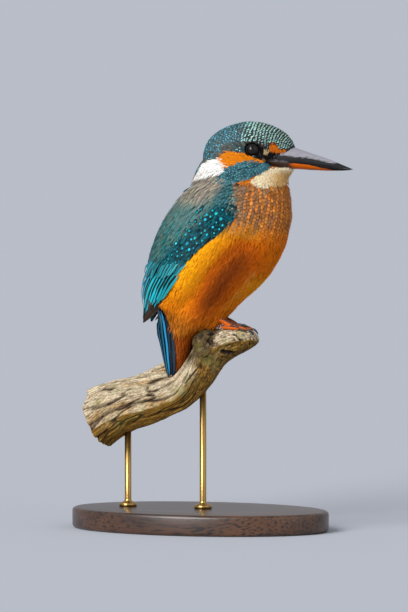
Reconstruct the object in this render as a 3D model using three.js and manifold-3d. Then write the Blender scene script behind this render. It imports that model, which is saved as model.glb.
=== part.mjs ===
// A life-size common kingfisher on a cut length of driftwood, held over a flat base by two short rods.
// Millimetres, +Z up. The bird faces +X and its right side is -Y. The origin is the centre of the base's
// underside.
import * as THREE from "three";
import { mergeVertices } from "three/addons/utils/BufferGeometryUtils.js";
import Module from "manifold-3d";

// ---- driving dimensions -----------------------------------------------------------------------------
const GAP = 0.3; // clearance between solids that touch
const HEAD_TURN = 12; // degrees that the head is turned to the bird's left
const EYE_RADIUS = 2.9;
const WING_THICKNESS = 4.2;
const TARSUS_RADIUS = 1.15;
const TOE_RADIUS = 0.95;
const CLAW_LENGTH = 3.6;
const BASE = { length: 128, width: 80, height: 10, bevel: 1.2 };
const ROD = { radius: 1.6, collarRadius: 4.2, collarHeight: 2.2, reach: 70 };
const RIGHT = -1;
const LEFT = 1;

const NECK_PIVOT = new THREE.Vector3(20.4, 0, 179.5); // the head turns about this upright line
const TRUNK_TOP = new THREE.Vector3(25.8, 0, 176.7); // ends of the straight line through the trunk
const TRUNK_END = new THREE.Vector3(-9.0, 0, 88.7);

const BACK = new THREE.Vector3(-1, 0, 0);
const UP = new THREE.Vector3(0, 0, 1);

const radians = THREE.MathUtils.degToRad;
const wasm = await Module();
wasm.setup();

// ---- shape helpers ----------------------------------------------------------------------------------

// Smooth functions through rows of [t, a, b, ...]. They are smooth in the angle of a half circle over t, so
// a value that falls to nothing at an end closes it round.
function stations(rows) {
  const angle = (t) => Math.acos(THREE.MathUtils.clamp(1 - 2 * t, -1, 1));
  const at = rows.map((row) => angle(row[0]));
  const slope = (i, k) => {
    const before = Math.max(i - 1, 0);
    const after = Math.min(i + 1, rows.length - 1);
    return (rows[after][k] - rows[before][k]) / (at[after] - at[before]);
  };
  return (t) => {
    const x = THREE.MathUtils.clamp(angle(t), at[0], at[at.length - 1]);
    let i = 0;
    while (i < at.length - 2 && x > at[i + 1]) i += 1;
    const span = at[i + 1] - at[i];
    const u = (x - at[i]) / span;
    return rows[i].slice(1).map((_, j) => {
      const k = j + 1;
      const [y0, y1] = [rows[i][k], rows[i + 1][k]];
      const [m0, m1] = [slope(i, k) * span, slope(i + 1, k) * span];
      const value =
        (2 * u ** 3 - 3 * u ** 2 + 1) * y0 +
        (u ** 3 - 2 * u ** 2 + u) * m0 +
        (3 * u ** 2 - 2 * u ** 3) * y1 +
        (u ** 3 - u ** 2) * m1;
      return Math.max(value, 0);
    });
  };
}

// Moves every vertex of a geometry to place(vertex), and returns the geometry with shared vertices merged.
function shaped(geometry, place) {
  geometry.deleteAttribute("normal");
  geometry.deleteAttribute("uv");
  const merged = mergeVertices(geometry, 1e-4);
  const at = merged.attributes.position;
  const p = new THREE.Vector3();
  for (let i = 0; i < at.count; i += 1) {
    const q = place(p.fromBufferAttribute(at, i));
    at.setXYZ(i, q.x, q.y, q.z);
  }
  return mergeVertices(merged, 1e-4);
}

// A closed skin round a curve: a ball whose poles go to the curve's ends. half(t) gives the half-sizes
// towards the crown, away from it and to the sides, and ridge(angle, t) scales them round the section.
function loft({ path, crown, half, sides, rings, ridge = () => 1 }) {
  return shaped(new THREE.SphereGeometry(1, sides, rings), (p) => {
    const t = THREE.MathUtils.clamp((1 - p.y) / 2, 0, 1);
    const round = Math.atan2(p.z, p.x);
    const along = path.getTangentAt(t);
    const top = crown.clone().addScaledVector(along, -crown.dot(along)).normalize();
    const aside = new THREE.Vector3().crossVectors(along, top);
    const [high, low, wide] = half(t);
    const rise = Math.cos(round) * (Math.cos(round) > 0 ? high : low) * ridge(round, t);
    const reach = Math.sin(round) * wide * ridge(round, t);
    return path.getPointAt(t).addScaledVector(top, rise).addScaledVector(aside, reach);
  });
}

const line = (from, to) => new THREE.LineCurve3(from, to);
const curve = (...points) => new THREE.CatmullRomCurve3(points.map((p) => new THREE.Vector3(...p)));

// The geometry with its surface moved out by a distance.
function grown(geometry, by) {
  const wider = geometry.clone();
  wider.computeVertexNormals();
  const { position, normal } = wider.attributes;
  for (let i = 0; i < position.count; i += 1)
    position.setXYZ(
      i,
      position.getX(i) + by * normal.getX(i),
      position.getY(i) + by * normal.getY(i),
      position.getZ(i) + by * normal.getZ(i),
    );
  wider.deleteAttribute("normal");
  return wider;
}

// The geometry as a solid, grown by a distance. A mirrored geometry has its faces turned back to face out.
function solid(geometry, by = 0) {
  const manifoldOf = (g) =>
    new wasm.Manifold(
      new wasm.Mesh({
        numProp: 3,
        vertProperties: new Float32Array(g.attributes.position.array),
        triVerts: new Uint32Array(g.index.array),
      }),
    );
  const facing = geometry.clone();
  if (manifoldOf(facing).volume() < 0) {
    const corners = facing.index.array;
    for (let i = 0; i < corners.length; i += 3) [corners[i], corners[i + 1]] = [corners[i + 1], corners[i]];
  }
  return manifoldOf(by ? grown(facing, by) : facing);
}

const joined = (solids) => solids.reduce((a, b) => a.add(b));

// The part of a solid that is kept: its largest body, without crumbs that a cut leaves.
function largest(cut) {
  return cut.decompose().reduce((a, b) => (a.volume() > b.volume() ? a : b));
}

// A wide block between two distances from a point, along a direction.
function block(point, direction, from, to) {
  const size = 400;
  const box = new THREE.BoxGeometry(size, size, to - from).translate(0, 0, (from + to) / 2);
  box.applyQuaternion(new THREE.Quaternion().setFromUnitVectors(UP, direction.clone().normalize()));
  return solid(shaped(box, (p) => p.clone().add(point)));
}

function geometryOf(manifold) {
  const { numProp, numVert, vertProperties, triVerts } = manifold.getMesh();
  const at = new Float32Array(numVert * 3);
  for (let i = 0; i < numVert; i += 1) at.set(vertProperties.subarray(i * numProp, i * numProp + 3), i * 3);
  const g = new THREE.BufferGeometry().setAttribute("position", new THREE.BufferAttribute(at, 3));
  g.setIndex(new THREE.BufferAttribute(triVerts, 1));
  g.computeVertexNormals();
  return g;
}

// ---- head, neck, trunk and the coverts round the tail -----------------------------------------------

// Rows are [t, up, down, side], from the nape to the bill.
const HEAD_LENGTH = 45.4;
const HEAD_BACK = -17.8;
const headShape = stations([
  [0, 0, 0, 0],
  [0.07, 8.6, 9.5, 7.6],
  [0.25, 14.2, 13.6, 12.2],
  [0.48, 16.9, 14.9, 13.4],
  [0.62, 16.4, 14.8, 11.8],
  [0.72, 15.3, 14.4, 9.2],
  [0.82, 13.2, 12.9, 6.6],
  [0.92, 9.6, 10, 4.8],
  [1, 0, 0, 0],
]);

function turnHead(geometry) {
  return geometry.rotateZ(radians(HEAD_TURN)).translate(NECK_PIVOT.x, NECK_PIVOT.y, NECK_PIVOT.z);
}

function headLoft() {
  const path = line(new THREE.Vector3(HEAD_BACK, 0, 0), new THREE.Vector3(HEAD_BACK + HEAD_LENGTH, 0, 0));
  return turnHead(loft({ path, crown: UP, half: headShape, sides: 24, rings: 14 }));
}

function neckLoft() {
  const path = curve([22, 0, 186], [20, 0, 170], [17.5, 0, 148]);
  const half = stations([
    [0, 0, 0, 0],
    [0.1, 14, 17, 11],
    [0.28, 18.8, 23, 14],
    [0.45, 21.8, 24.8, 17],
    [0.62, 23.2, 26.8, 19],
    [0.84, 22, 25.6, 19],
    [1, 0, 0, 0],
  ]);
  return loft({ path, crown: BACK, half, sides: 24, rings: 12 });
}

// Rows are [t, back, front, side], from the shoulders to the vent.
const trunkShape = stations([
  [0, 0, 0, 0],
  [0.13, 20.4, 26.8, 16.5],
  [0.24, 22.8, 29.4, 20.8],
  [0.34, 25.0, 30.4, 23],
  [0.44, 26.6, 29.2, 24],
  [0.55, 27.2, 26.4, 23.2],
  [0.66, 26, 20.6, 20.8],
  [0.75, 23.2, 16.8, 17.6],
  [0.82, 20.5, 12.8, 14.6],
  [0.91, 15, 6.5, 9.5],
  [1, 0, 0, 0],
]);

function trunkLoft() {
  return loft({ path: line(TRUNK_TOP, TRUNK_END), crown: BACK, half: trunkShape, sides: 26, rings: 18 });
}

// The soft feathers over the root of the tail and under it.
function covertsLoft() {
  const path = curve([-6.5, 0, 112], [-9, 0, 97], [-9.6, 0, 84], [-12, 0, 73]);
  const half = stations([
    [0, 0, 0, 0],
    [0.25, 10, 8, 9.5],
    [0.48, 9.6, 6.6, 8],
    [0.72, 6, 4.4, 6.4],
    [0.9, 3, 2.6, 4.2],
    [1, 0, 0, 0],
  ]);
  return loft({ path, crown: BACK, half, sides: 16, rings: 10 });
}

const fleshParts = [headLoft(), neckLoft(), trunkLoft(), covertsLoft()];
const flesh = joined(fleshParts.map((part) => solid(part)));
const fleshRoom = joined(fleshParts.map((part) => solid(part, GAP)));

// Thin cuts part the flesh, each through a point and square to a direction.
const THROAT_CUT = { point: new THREE.Vector3(20.4, 0, 166.6), direction: new THREE.Vector3(0.1, 0, 1) };
const SHOULDER_CUT = { point: new THREE.Vector3(20.4, 0, 158.8), direction: new THREE.Vector3(0.22, 0, 1) };
const VENT_CUT = { point: new THREE.Vector3(-6, 0, 97.5), direction: new THREE.Vector3(0.15, 0, 1) };

const above = (cut, whole) => whole.intersect(block(cut.point, cut.direction, GAP / 2, 300));
const under = (cut, whole) => whole.intersect(block(cut.point, cut.direction, -300, -GAP / 2));

// ---- tail -------------------------------------------------------------------------------------------

// The closed tail is a stack of quills folded into a narrow roof, whose ridge faces the back.
const TAIL = { rootZ: 104, tipZ: 71.6, halfWidth: 6.6, fold: 78, thickness: 1.5 };

function tailQuills(by = 0) {
  const ridge = stations([
    [0, 24.2, 10],
    [0.16, 22.6, 9.4],
    [0.35, 20.2, 8],
    [0.7, 17.6, 6.2],
    [0.93, 16, 4.2],
    [1, 15, 2.6],
  ]);
  const plate = new THREE.BoxGeometry(1, 1, 1, 1, 10, 10);
  const fold = radians(TAIL.fold);
  return solid(
    shaped(plate, (p) => {
      const t = 0.5 - p.z;
      const round = p.y * 2 * fold;
      const [behind, depth] = ridge(t);
      const narrow = 1 - 0.45 * Math.max(0, t - 0.75) / 0.25 - 0.1 * t;
      const inner = (p.x + 0.5) * TAIL.thickness;
      const width = TAIL.halfWidth * narrow - inner;
      const deep = depth - inner;
      const tip = 3.2 * (Math.abs(p.y) * 2) ** 2 * Math.max(0, t - 0.6);
      return new THREE.Vector3(
        -behind + inner + (deep * (1 - Math.cos(round))) / (1 - Math.cos(fold)),
        (width * Math.sin(round)) / Math.sin(fold),
        THREE.MathUtils.lerp(TAIL.rootZ, TAIL.tipZ, t) + tip,
      );
    }),
    by,
  );
}

function tail() {
  return largest(under(VENT_CUT, flesh.add(tailQuills())));
}

// ---- wings ------------------------------------------------------------------------------------------

// Rows are [t along the trunk, back, side]: the outside of the folded wings.
const wingHull = stations([
  [0, 13, 10],
  [0.1, 20, 16.5],
  [0.2, 24, 22.2],
  [0.3, 27, 25.2],
  [0.4, 29.4, 26.6],
  [0.5, 30.6, 26.8],
  [0.6, 30.6, 25.8],
  [0.7, 29.6, 23.4],
  [0.8, 27.8, 19.6],
  [0.9, 24.6, 15],
  [1, 21.8, 11.5],
]);
// Rows are [t along the wing, lower edge, upper edge], as degrees round the trunk from the breast.
const wingEdges = stations([
  [0, 84, 120],
  [0.06, 72, 143],
  [0.15, 66, 155],
  [0.25, 71, 162],
  [0.4, 84, 166],
  [0.55, 97, 167],
  [0.7, 107, 167],
  [0.8, 115, 165],
  [0.87, 126, 163],
  [0.94, 142, 161],
  [1, 153, 158],
]);
const WING_SPAN = { from: 0.1, to: 0.975 }; // where the wing begins and ends along the trunk

function wing(side) {
  const axis = line(TRUNK_TOP, TRUNK_END);
  const along = axis.getTangentAt(0);
  const back = BACK.clone().addScaledVector(along, -BACK.dot(along)).normalize();
  const plate = new THREE.BoxGeometry(1, 1, 1, 18, 7, 1);
  const blade = shaped(plate, (p) => {
    const t = p.x + 0.5;
    const across = p.y + 0.5;
    const s = THREE.MathUtils.lerp(WING_SPAN.from, WING_SPAN.to, t);
    const [low, high] = wingEdges(t);
    const round = radians(THREE.MathUtils.lerp(low, high, across));
    const edge = 0.3 + 0.7 * Math.sin(Math.PI * THREE.MathUtils.clamp(across, 0, 1)) ** 0.6;
    const thick = WING_THICKNESS * edge * (1 - 0.72 * THREE.MathUtils.smoothstep(t, 0.5, 1));
    const inward = (0.5 - p.z) * thick;
    const [deep, wide] = wingHull(s);
    const lift = -Math.cos(round) * (deep - inward) - Math.max(0, Math.cos(round)) * 1.5;
    return axis
      .getPointAt(s)
      .addScaledVector(back, lift)
      .add(new THREE.Vector3(0, side * Math.sin(round) * (wide - inward), 0));
  });
  return largest(solid(blade).subtract(fleshRoom).subtract(tailQuills(GAP)));
}

// ---- bill and eyes ----------------------------------------------------------------------------------

const BILL = { root: 14.5, tip: 54.4, rootZ: -1.0, tipZ: -6.0 }; // in the head's own frame
const MOUTH_SLOPE = 6.2; // degrees that the mouth line falls towards the tip

function billWhole() {
  const path = line(new THREE.Vector3(BILL.root, 0, BILL.rootZ), new THREE.Vector3(BILL.tip, 0, BILL.tipZ));
  const half = stations([
    [0, 0, 0, 0],
    [0.05, 5.4, 3.4, 7.3],
    [0.14, 6.7, 3.9, 6.4],
    [0.26, 7.1, 3.6, 5.2],
    [0.38, 6.1, 3.2, 4.2],
    [0.52, 4.9, 2.8, 3.3],
    [0.7, 3.5, 2.2, 2.3],
    [0.87, 1.7, 1.2, 1.3],
    [0.96, 0.7, 0.6, 0.7],
    [1, 0, 0, 0],
  ]);
  // A roof-like culmen over rounded sides.
  const ridge = (round) => 1 - 0.1 * Math.sin(2 * round) ** 2;
  return turnHead(loft({ path, crown: UP, half, sides: 12, rings: 9, ridge }));
}

function billHalf(upper) {
  const tip = turnHead(new THREE.BufferGeometry().setFromPoints([new THREE.Vector3(BILL.tip, 0, BILL.tipZ)]));
  const point = new THREE.Vector3().fromBufferAttribute(tip.attributes.position, 0);
  const slope = radians(MOUTH_SLOPE);
  const square = new THREE.Vector3(Math.sin(slope), 0, Math.cos(slope));
  square.applyAxisAngle(UP, radians(HEAD_TURN));
  const mouth = { point, direction: square };
  const bare = solid(billWhole()).subtract(fleshRoom);
  return largest(upper ? above(mouth, bare) : under(mouth, bare));
}

const EYE_PLACE = { x: 7.2, y: 10.2, z: 3.5 }; // in the head's own frame, on the left

function eyeBall(side) {
  const ball = shaped(new THREE.SphereGeometry(EYE_RADIUS, 12, 8), (p) => p);
  return turnHead(ball.translate(EYE_PLACE.x, side * EYE_PLACE.y, EYE_PLACE.z));
}

function head() {
  const sockets = joined([solid(eyeBall(RIGHT), GAP), solid(eyeBall(LEFT), GAP)]);
  return largest(above(THROAT_CUT, flesh).subtract(sockets));
}

// ---- perch ------------------------------------------------------------------------------------------

const PERCH_CUT = { point: new THREE.Vector3(-54, 0, 52), direction: new THREE.Vector3(-0.9, 0, -0.42) };

// Weathered wood: long flutes that wind slowly round the branch.
const flutes = (count, depth, twist) => (round, t) =>
  1 + depth * Math.cos(count * round + twist * t) + 0.5 * depth * Math.cos((count + 3) * round - twist * t);

function branch() {
  const path = curve(
    [29.9, 0, 92],
    [23, 0, 91.4],
    [15, 0, 90],
    [6.5, 0, 85.4],
    [-0.6, 0, 75],
    [-9.6, 0, 66],
    [-23, 0, 61],
    [-38, 0, 58],
    [-53, 0, 51],
    [-66, 0, 42],
  );
  const half = stations([
    [0, 0, 0, 0],
    [0.03, 4.6, 3.6, 6.2],
    [0.09, 7, 6.6, 9],
    [0.2, 8.4, 8.6, 10],
    [0.35, 8.4, 8.4, 9.6],
    [0.5, 8.2, 8.6, 9.2],
    [0.65, 9.2, 11, 11],
    [0.8, 11, 12.4, 12.6],
    [0.97, 12.6, 13, 13.2],
    [1, 0, 0, 0],
  ]);
  return loft({ path, crown: UP, half, sides: 20, rings: 21, ridge: flutes(5, 0.045, 5) });
}

// A second strand of the root runs along the top and far side, and the tail hangs in front of it.
function strand() {
  const path = curve(
    [4, 8, 84],
    [-9, 11.5, 80.6],
    [-22.5, 12, 75.6],
    [-35.5, 10, 69],
    [-48, 7, 65.5],
    [-64, 4, 57],
  );
  const half = stations([
    [0, 0, 0, 0],
    [0.08, 3, 3, 3],
    [0.4, 3.8, 4.4, 3.8],
    [0.75, 4.6, 5.4, 5],
    [0.95, 5, 5, 5],
    [1, 0, 0, 0],
  ]);
  return loft({ path, crown: UP, half, sides: 12, rings: 14, ridge: flutes(3, 0.08, 6) });
}

// A web of wood fills the valley between the strand and the branch.
function web() {
  const path = curve([-14, 7, 72], [-28, 7.5, 69], [-42, 5, 63.5], [-60, 2, 54]);
  const half = stations([
    [0, 0, 0, 0],
    [0.2, 4.5, 6, 4.5],
    [0.6, 7, 8, 6.5],
    [0.95, 8, 8, 7],
    [1, 0, 0, 0],
  ]);
  return loft({ path, crown: UP, half, sides: 12, rings: 8, ridge: flutes(3, 0.07, 4) });
}

// A burr fills the bend under the bird, so that the wood has a square shoulder there.
const BURR = { x: 4.6, z: 90, halfLength: 8.2, halfWidth: 8.8, halfHeight: 7.9 };

function burr() {
  const ball = new THREE.SphereGeometry(1, 14, 9).scale(BURR.halfLength, BURR.halfWidth, BURR.halfHeight);
  return shaped(ball.translate(BURR.x, 0, BURR.z), (p) => p);
}

const woodParts = [branch(), strand(), web(), burr()];
const perchWhole = joined(woodParts.map((part) => solid(part)));
const bothSides = new THREE.MeshBasicMaterial({ side: THREE.DoubleSide });
const perchMesh = new THREE.Mesh(geometryOf(perchWhole), bothSides);

// Height of the perch's upper surface over a point of the floor plan.
function perchTop(x, y) {
  const ray = new THREE.Raycaster(new THREE.Vector3(x, y, 200), new THREE.Vector3(0, 0, -1));
  return ray.intersectObject(perchMesh)[0].point.z;
}

// ---- legs -------------------------------------------------------------------------------------------

// Toe plans run from the heel of the foot: [forwards, outwards] for each bend. The feet mirror each other.
const HEEL = { x: 12.2, y: 3.8 };
const TOES = [
  { name: "hallux", bends: [[-1.5, 1.2], [-3.2, 2.2]] },
  { name: "inner", bends: [[4, -1.2], [8.6, -1.9]] },
  { name: "middle", bends: [[6.6, -0.1], [13.2, -0.3]] },
  { name: "outer", bends: [[5, 1.1], [9.8, 1.3]] },
];

const onPerch = (x, y, lift) => new THREE.Vector3(x, y, perchTop(x, y) + lift);

function toePath(side, toe) {
  const lift = TOE_RADIUS + GAP;
  const bend = ([ahead, out]) => onPerch(HEEL.x + ahead, side * (HEEL.y + out), lift);
  const points = [[0, 0], ...toe.bends].map(bend);
  return new THREE.CatmullRomCurve3(points);
}

function toeLoft(side, toe) {
  const r = TOE_RADIUS;
  const half = stations([
    [0, 0, 0, 0],
    [0.12, r * 1.15, r, r * 1.15],
    [0.6, r, r, r],
    [0.95, r * 0.75, r * 0.75, r * 0.75],
    [1, 0, 0, 0],
  ]);
  return loft({ path: toePath(side, toe), crown: UP, half, sides: 6, rings: 6 });
}

// The tarsus is short and lies low over the toes, with its ankle in the feathers of the belly.
function tarsusLoft(side) {
  const foot = onPerch(HEEL.x + 5.6, side * HEEL.y, TOE_RADIUS * 1.3);
  const ankle = new THREE.Vector3(HEEL.x - 5.9, side * (HEEL.y + 1.4), foot.z + 6.2);
  const r = TARSUS_RADIUS;
  const half = stations([
    [0, 0, 0, 0],
    [0.1, r * 1.25, r * 1.25, r * 1.25],
    [0.5, r, r, r],
    [0.9, r * 1.7, r * 1.7, r * 1.7],
    [1, 0, 0, 0],
  ]);
  return loft({ path: line(foot, ankle), crown: new THREE.Vector3(1, 0, 0), half, sides: 8, rings: 6 });
}

// A claw leaves the toe's end, arches and comes down on the wood.
function clawLoft(side, toe) {
  const path = toePath(side, toe);
  const end = path.getPointAt(1);
  const ahead = path.getTangentAt(1);
  const out = new THREE.Vector3(ahead.x, ahead.y, 0).normalize().multiplyScalar(CLAW_LENGTH);
  const bends = [[-0.1, 0.85], [0.22, 1.1], [0.55, 0.95], [0.85, 0.55]];
  const over = ([forward, lift]) => onPerch(end.x + forward * out.x, end.y + forward * out.y, lift + GAP);
  const route = bends.map(over);
  const half = stations([
    [0, 0, 0, 0],
    [0.15, 0.62, 0.62, 0.55],
    [0.5, 0.5, 0.5, 0.45],
    [0.85, 0.32, 0.32, 0.32],
    [1, 0, 0, 0],
  ]);
  return loft({ path: new THREE.CatmullRomCurve3(route), crown: UP, half, sides: 5, rings: 5 });
}

const legShapes = (side) => [...TOES.map((toe) => toeLoft(side, toe)), tarsusLoft(side)];

function leg(side) {
  return largest(joined(legShapes(side).map((part) => solid(part))).subtract(fleshRoom));
}

function claw(side, toe) {
  const feet = joined(legShapes(side).map((part) => solid(part, GAP)));
  return largest(solid(clawLoft(side, toe)).subtract(feet));
}

function perch() {
  const room = [fleshRoom, tailQuills(GAP)];
  for (const side of [RIGHT, LEFT]) {
    room.push(...legShapes(side).map((part) => solid(part, GAP)));
    room.push(...TOES.map((toe) => solid(clawLoft(side, toe), GAP)));
  }
  const cut = perchWhole.intersect(block(PERCH_CUT.point, PERCH_CUT.direction, -300, 0));
  return largest(cut.subtract(joined(room)));
}

// ---- stand ------------------------------------------------------------------------------------------

function standBase() {
  const { length, width, height, bevel } = BASE;
  const oval = new THREE.Shape().absellipse(0, 0, length / 2 - bevel, width / 2 - bevel, 0, Math.PI * 2);
  const plate = new THREE.ExtrudeGeometry(oval, {
    depth: height - 2 * bevel,
    bevelSize: bevel,
    bevelThickness: bevel,
    bevelSegments: 1,
    curveSegments: 18,
  });
  return solid(shaped(plate.translate(0, 0, bevel), (p) => p));
}

const RODS = [
  { name: "stand_rod_front", x: 1.5 },
  { name: "stand_rod_rear", x: -37 },
];

// A straight rod with a small turned foot, cut to meet the wood.
function standRod(x) {
  const { radius, collarRadius, collarHeight, reach } = ROD;
  const outline = [
    [0, 0],
    [collarRadius, 0],
    [collarRadius, collarHeight * 0.6],
    [collarRadius * 0.72, collarHeight],
    [radius, collarHeight],
    [radius, reach],
    [0, reach],
  ].map(([r, z]) => new THREE.Vector2(r, z));
  const turned = new THREE.LatheGeometry(outline, 12).rotateX(Math.PI / 2).translate(x, 0, BASE.height + GAP);
  const rod = solid(shaped(turned, (p) => p));
  const wood = joined(woodParts.map((part) => solid(part, GAP)));
  const woodTop = { point: new THREE.Vector3(x, 0, perchTop(x, 0)), direction: UP };
  return largest(under(woodTop, rod).subtract(wood));
}

// ---- the scene graph --------------------------------------------------------------------------------

const finish = (color, roughness, metalness = 0) =>
  new THREE.MeshStandardMaterial({ color, roughness, metalness });
const FINISHES = {
  crown: finish("#2f6f78", 0.7),
  orange: finish("#d9720c", 0.85),
  teal: finish("#1c6a70", 0.6),
  blue: finish("#0e7fae", 0.5),
  horn: finish("#1d1c1f", 0.35),
  mandible: finish("#8a3a0c", 0.4),
  eye: finish("#0c0908", 0.08),
  foot: finish("#d8481c", 0.55),
  claw: finish("#221c1a", 0.4),
  wood: finish("#9c8a6a", 0.9),
  plinth: finish("#2b2522", 0.4),
  rod: finish("#b08d57", 0.3, 1),
};

const kingfisher = new THREE.Group();

function add(name, manifold, material) {
  const mesh = new THREE.Mesh(geometryOf(manifold), material);
  mesh.name = name;
  kingfisher.add(mesh);
}

add("head", head(), FINISHES.crown);
add("neck", largest(above(SHOULDER_CUT, under(THROAT_CUT, flesh))), FINISHES.teal);
add("trunk", largest(above(VENT_CUT, under(SHOULDER_CUT, flesh))), FINISHES.orange);
add("tail", tail(), FINISHES.blue);
add("bill_upper", billHalf(true), FINISHES.horn);
add("bill_lower", billHalf(false), FINISHES.mandible);
for (const [word, side] of [["right", RIGHT], ["left", LEFT]]) {
  add(`eye_${word}`, solid(eyeBall(side)), FINISHES.eye);
  add(`wing_${word}`, wing(side), FINISHES.teal);
  add(`leg_${word}`, leg(side), FINISHES.foot);
  for (const toe of TOES) add(`claw_${word}_${toe.name}`, claw(side, toe), FINISHES.claw);
}
add("perch", perch(), FINISHES.wood);
add("stand_base", standBase(), FINISHES.plinth);
for (const rod of RODS) add(rod.name, standRod(rod.x), FINISHES.rod);

export default kingfisher;
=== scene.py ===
import heapq
import math

import bmesh
import bpy
import numpy as np
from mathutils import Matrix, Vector, noise
from mathutils.bvhtree import BVHTree
from mathutils.kdtree import KDTree


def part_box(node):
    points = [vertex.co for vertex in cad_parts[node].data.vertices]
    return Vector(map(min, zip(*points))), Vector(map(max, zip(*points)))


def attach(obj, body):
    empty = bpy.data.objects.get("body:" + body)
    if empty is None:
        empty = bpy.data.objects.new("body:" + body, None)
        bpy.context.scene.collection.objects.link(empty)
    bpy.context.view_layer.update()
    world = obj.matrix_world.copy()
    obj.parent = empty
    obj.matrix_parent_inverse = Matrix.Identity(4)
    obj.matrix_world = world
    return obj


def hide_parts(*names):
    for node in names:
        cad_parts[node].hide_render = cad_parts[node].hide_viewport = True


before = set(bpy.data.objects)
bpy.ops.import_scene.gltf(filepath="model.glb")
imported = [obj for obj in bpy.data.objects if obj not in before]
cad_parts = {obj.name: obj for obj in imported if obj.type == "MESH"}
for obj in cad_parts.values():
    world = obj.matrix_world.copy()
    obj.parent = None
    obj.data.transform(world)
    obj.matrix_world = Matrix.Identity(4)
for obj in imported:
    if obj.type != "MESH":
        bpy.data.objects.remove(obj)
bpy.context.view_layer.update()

# ---- stand base ----------------------------------------------------------------------------------
# An oval plinth turned from one piece of close-grained hardwood, stained dark and waxed. Its edges are
# eased with sandpaper, and the stain lies a little darker in the grain.
MM = 0.001


def linear(code):
    """The linear colour of an sRGB hex value."""
    parts = [int(code[i : i + 2], 16) / 255 for i in (1, 3, 5)]
    return tuple(c / 12.92 if c <= 0.04045 else ((c + 0.055) / 1.055) ** 2.4 for c in parts) + (1.0,)


def add_node(tree, kind, settings, inputs):
    """Adds a node with settings. An input is a number, a colour, a socket, or a node for its first output."""
    node = tree.nodes.new("ShaderNode" + kind)
    for name, value in settings.items():
        setattr(node, name, value)
    for name, value in inputs.items():
        if isinstance(value, bpy.types.Node):
            value = value.outputs[0]
        if isinstance(value, bpy.types.NodeSocket):
            tree.links.new(value, node.inputs[name])
        else:
            node.inputs[name].default_value = value
    return node


def new_material(name):
    """An empty node material and its tree."""
    material = bpy.data.materials.new(name)
    material.use_nodes = True
    material.node_tree.nodes.clear()
    return material, material.node_tree


def finished(material, surface):
    """The material, with the surface shader linked to its output."""
    add_node(material.node_tree, "OutputMaterial", {}, {"Surface": surface})
    return material


# The settings of a mix of two colours, of one colour times another, and of a range with soft ends.
MIX = {"data_type": "RGBA"}
TIMES = {"data_type": "RGBA", "blend_type": "MULTIPLY"}
SOFT = {"interpolation_type": "SMOOTHSTEP"}


def stained_walnut():
    """Walnut, dark oil stain under wax: long open pores and a soft satin shine."""
    material, tree = new_material("stained_walnut")
    grain_width = 0.9 * MM
    place = add_node(tree, "TexCoord", {}, {}).outputs["Object"]
    stretched = add_node(tree, "Mapping", {}, {"Vector": place, "Scale": (0.08, 1.0, 1.0)})
    figure = add_node(tree, "TexNoise", {}, {"Vector": stretched, "Scale": 0.1 / grain_width, "Detail": 4.0})
    pores = add_node(tree, "TexNoise", {}, {"Vector": stretched, "Scale": 1.0 / grain_width, "Detail": 3.0})
    tone = add_node(tree, "MapRange", {}, {"Value": figure, "From Min": 0.35, "From Max": 0.65})
    wood = add_node(tree, "Mix", MIX, {0: tone, 6: linear("#2c1a10"), 7: linear("#54351f")}).outputs[2]
    deep = add_node(tree, "MapRange", {}, {"Value": pores, "From Min": 0.36, "From Max": 0.5})
    colour = add_node(tree, "Mix", MIX, {0: deep, 6: linear("#180d07"), 7: wood}).outputs[2]
    bump = add_node(tree, "Bump", {}, {"Height": pores, "Strength": 0.25, "Distance": 0.1 * MM})
    shader = add_node(tree, "BsdfPrincipled", {},
                      {"Base Color": colour, "Roughness": 0.38, "IOR": 1.5, "Coat Weight": 0.3,
                       "Coat Roughness": 0.25, "Normal": bump})
    return finished(material, shader)


def place_piece(obj, material, slot, *nodes):
    """Gives a piece its finish, its body and the solids that it stands for. The slot is not used."""
    obj.data.materials.clear()
    obj.data.materials.append(material)
    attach(obj, "root")
    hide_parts(*nodes)
    return obj


def in_scene(name, data):
    """A new object in the scene, for a mesh, a light or a camera."""
    obj = bpy.data.objects.new(name, data)
    bpy.context.scene.collection.objects.link(obj)
    return obj


def closed_loft(name, rings):
    """A closed smooth object through rings of points, all of one count, with a flat cap at both ends."""
    count = len(rings[0])
    points = [point for ring in rings for point in ring]
    faces = [
        (r * count + i, r * count + (i + 1) % count, (r + 1) * count + (i + 1) % count, (r + 1) * count + i)
        for r in range(len(rings) - 1)
        for i in range(count)
    ]
    faces.append(tuple(reversed(range(count))))
    faces.append(tuple(range((len(rings) - 1) * count, len(rings) * count)))
    mesh = bpy.data.meshes.new(name)
    mesh.from_pydata([tuple(p) for p in points], [], faces)
    shell = bmesh.new()
    shell.from_mesh(mesh)
    bmesh.ops.recalc_face_normals(shell, faces=shell.faces)
    shell.to_mesh(mesh)
    shell.free()
    mesh.shade_smooth()
    return in_scene(name, mesh)


def turned(name, centre, outline, sides, oval=(1.0, 1.0)):
    """A loft round an upright line: outline is [radius, height] rows, and oval stretches the plan."""
    rings = []
    for radius, height in outline:
        ring = []
        for i in range(sides):
            angle = 2 * math.pi * i / sides
            across = Vector((math.cos(angle) * oval[0], math.sin(angle) * oval[1], 0)) * radius
            ring.append(Vector((centre.x, centre.y, height)) + across)
        rings.append(ring)
    return closed_loft(name, rings)


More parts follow.
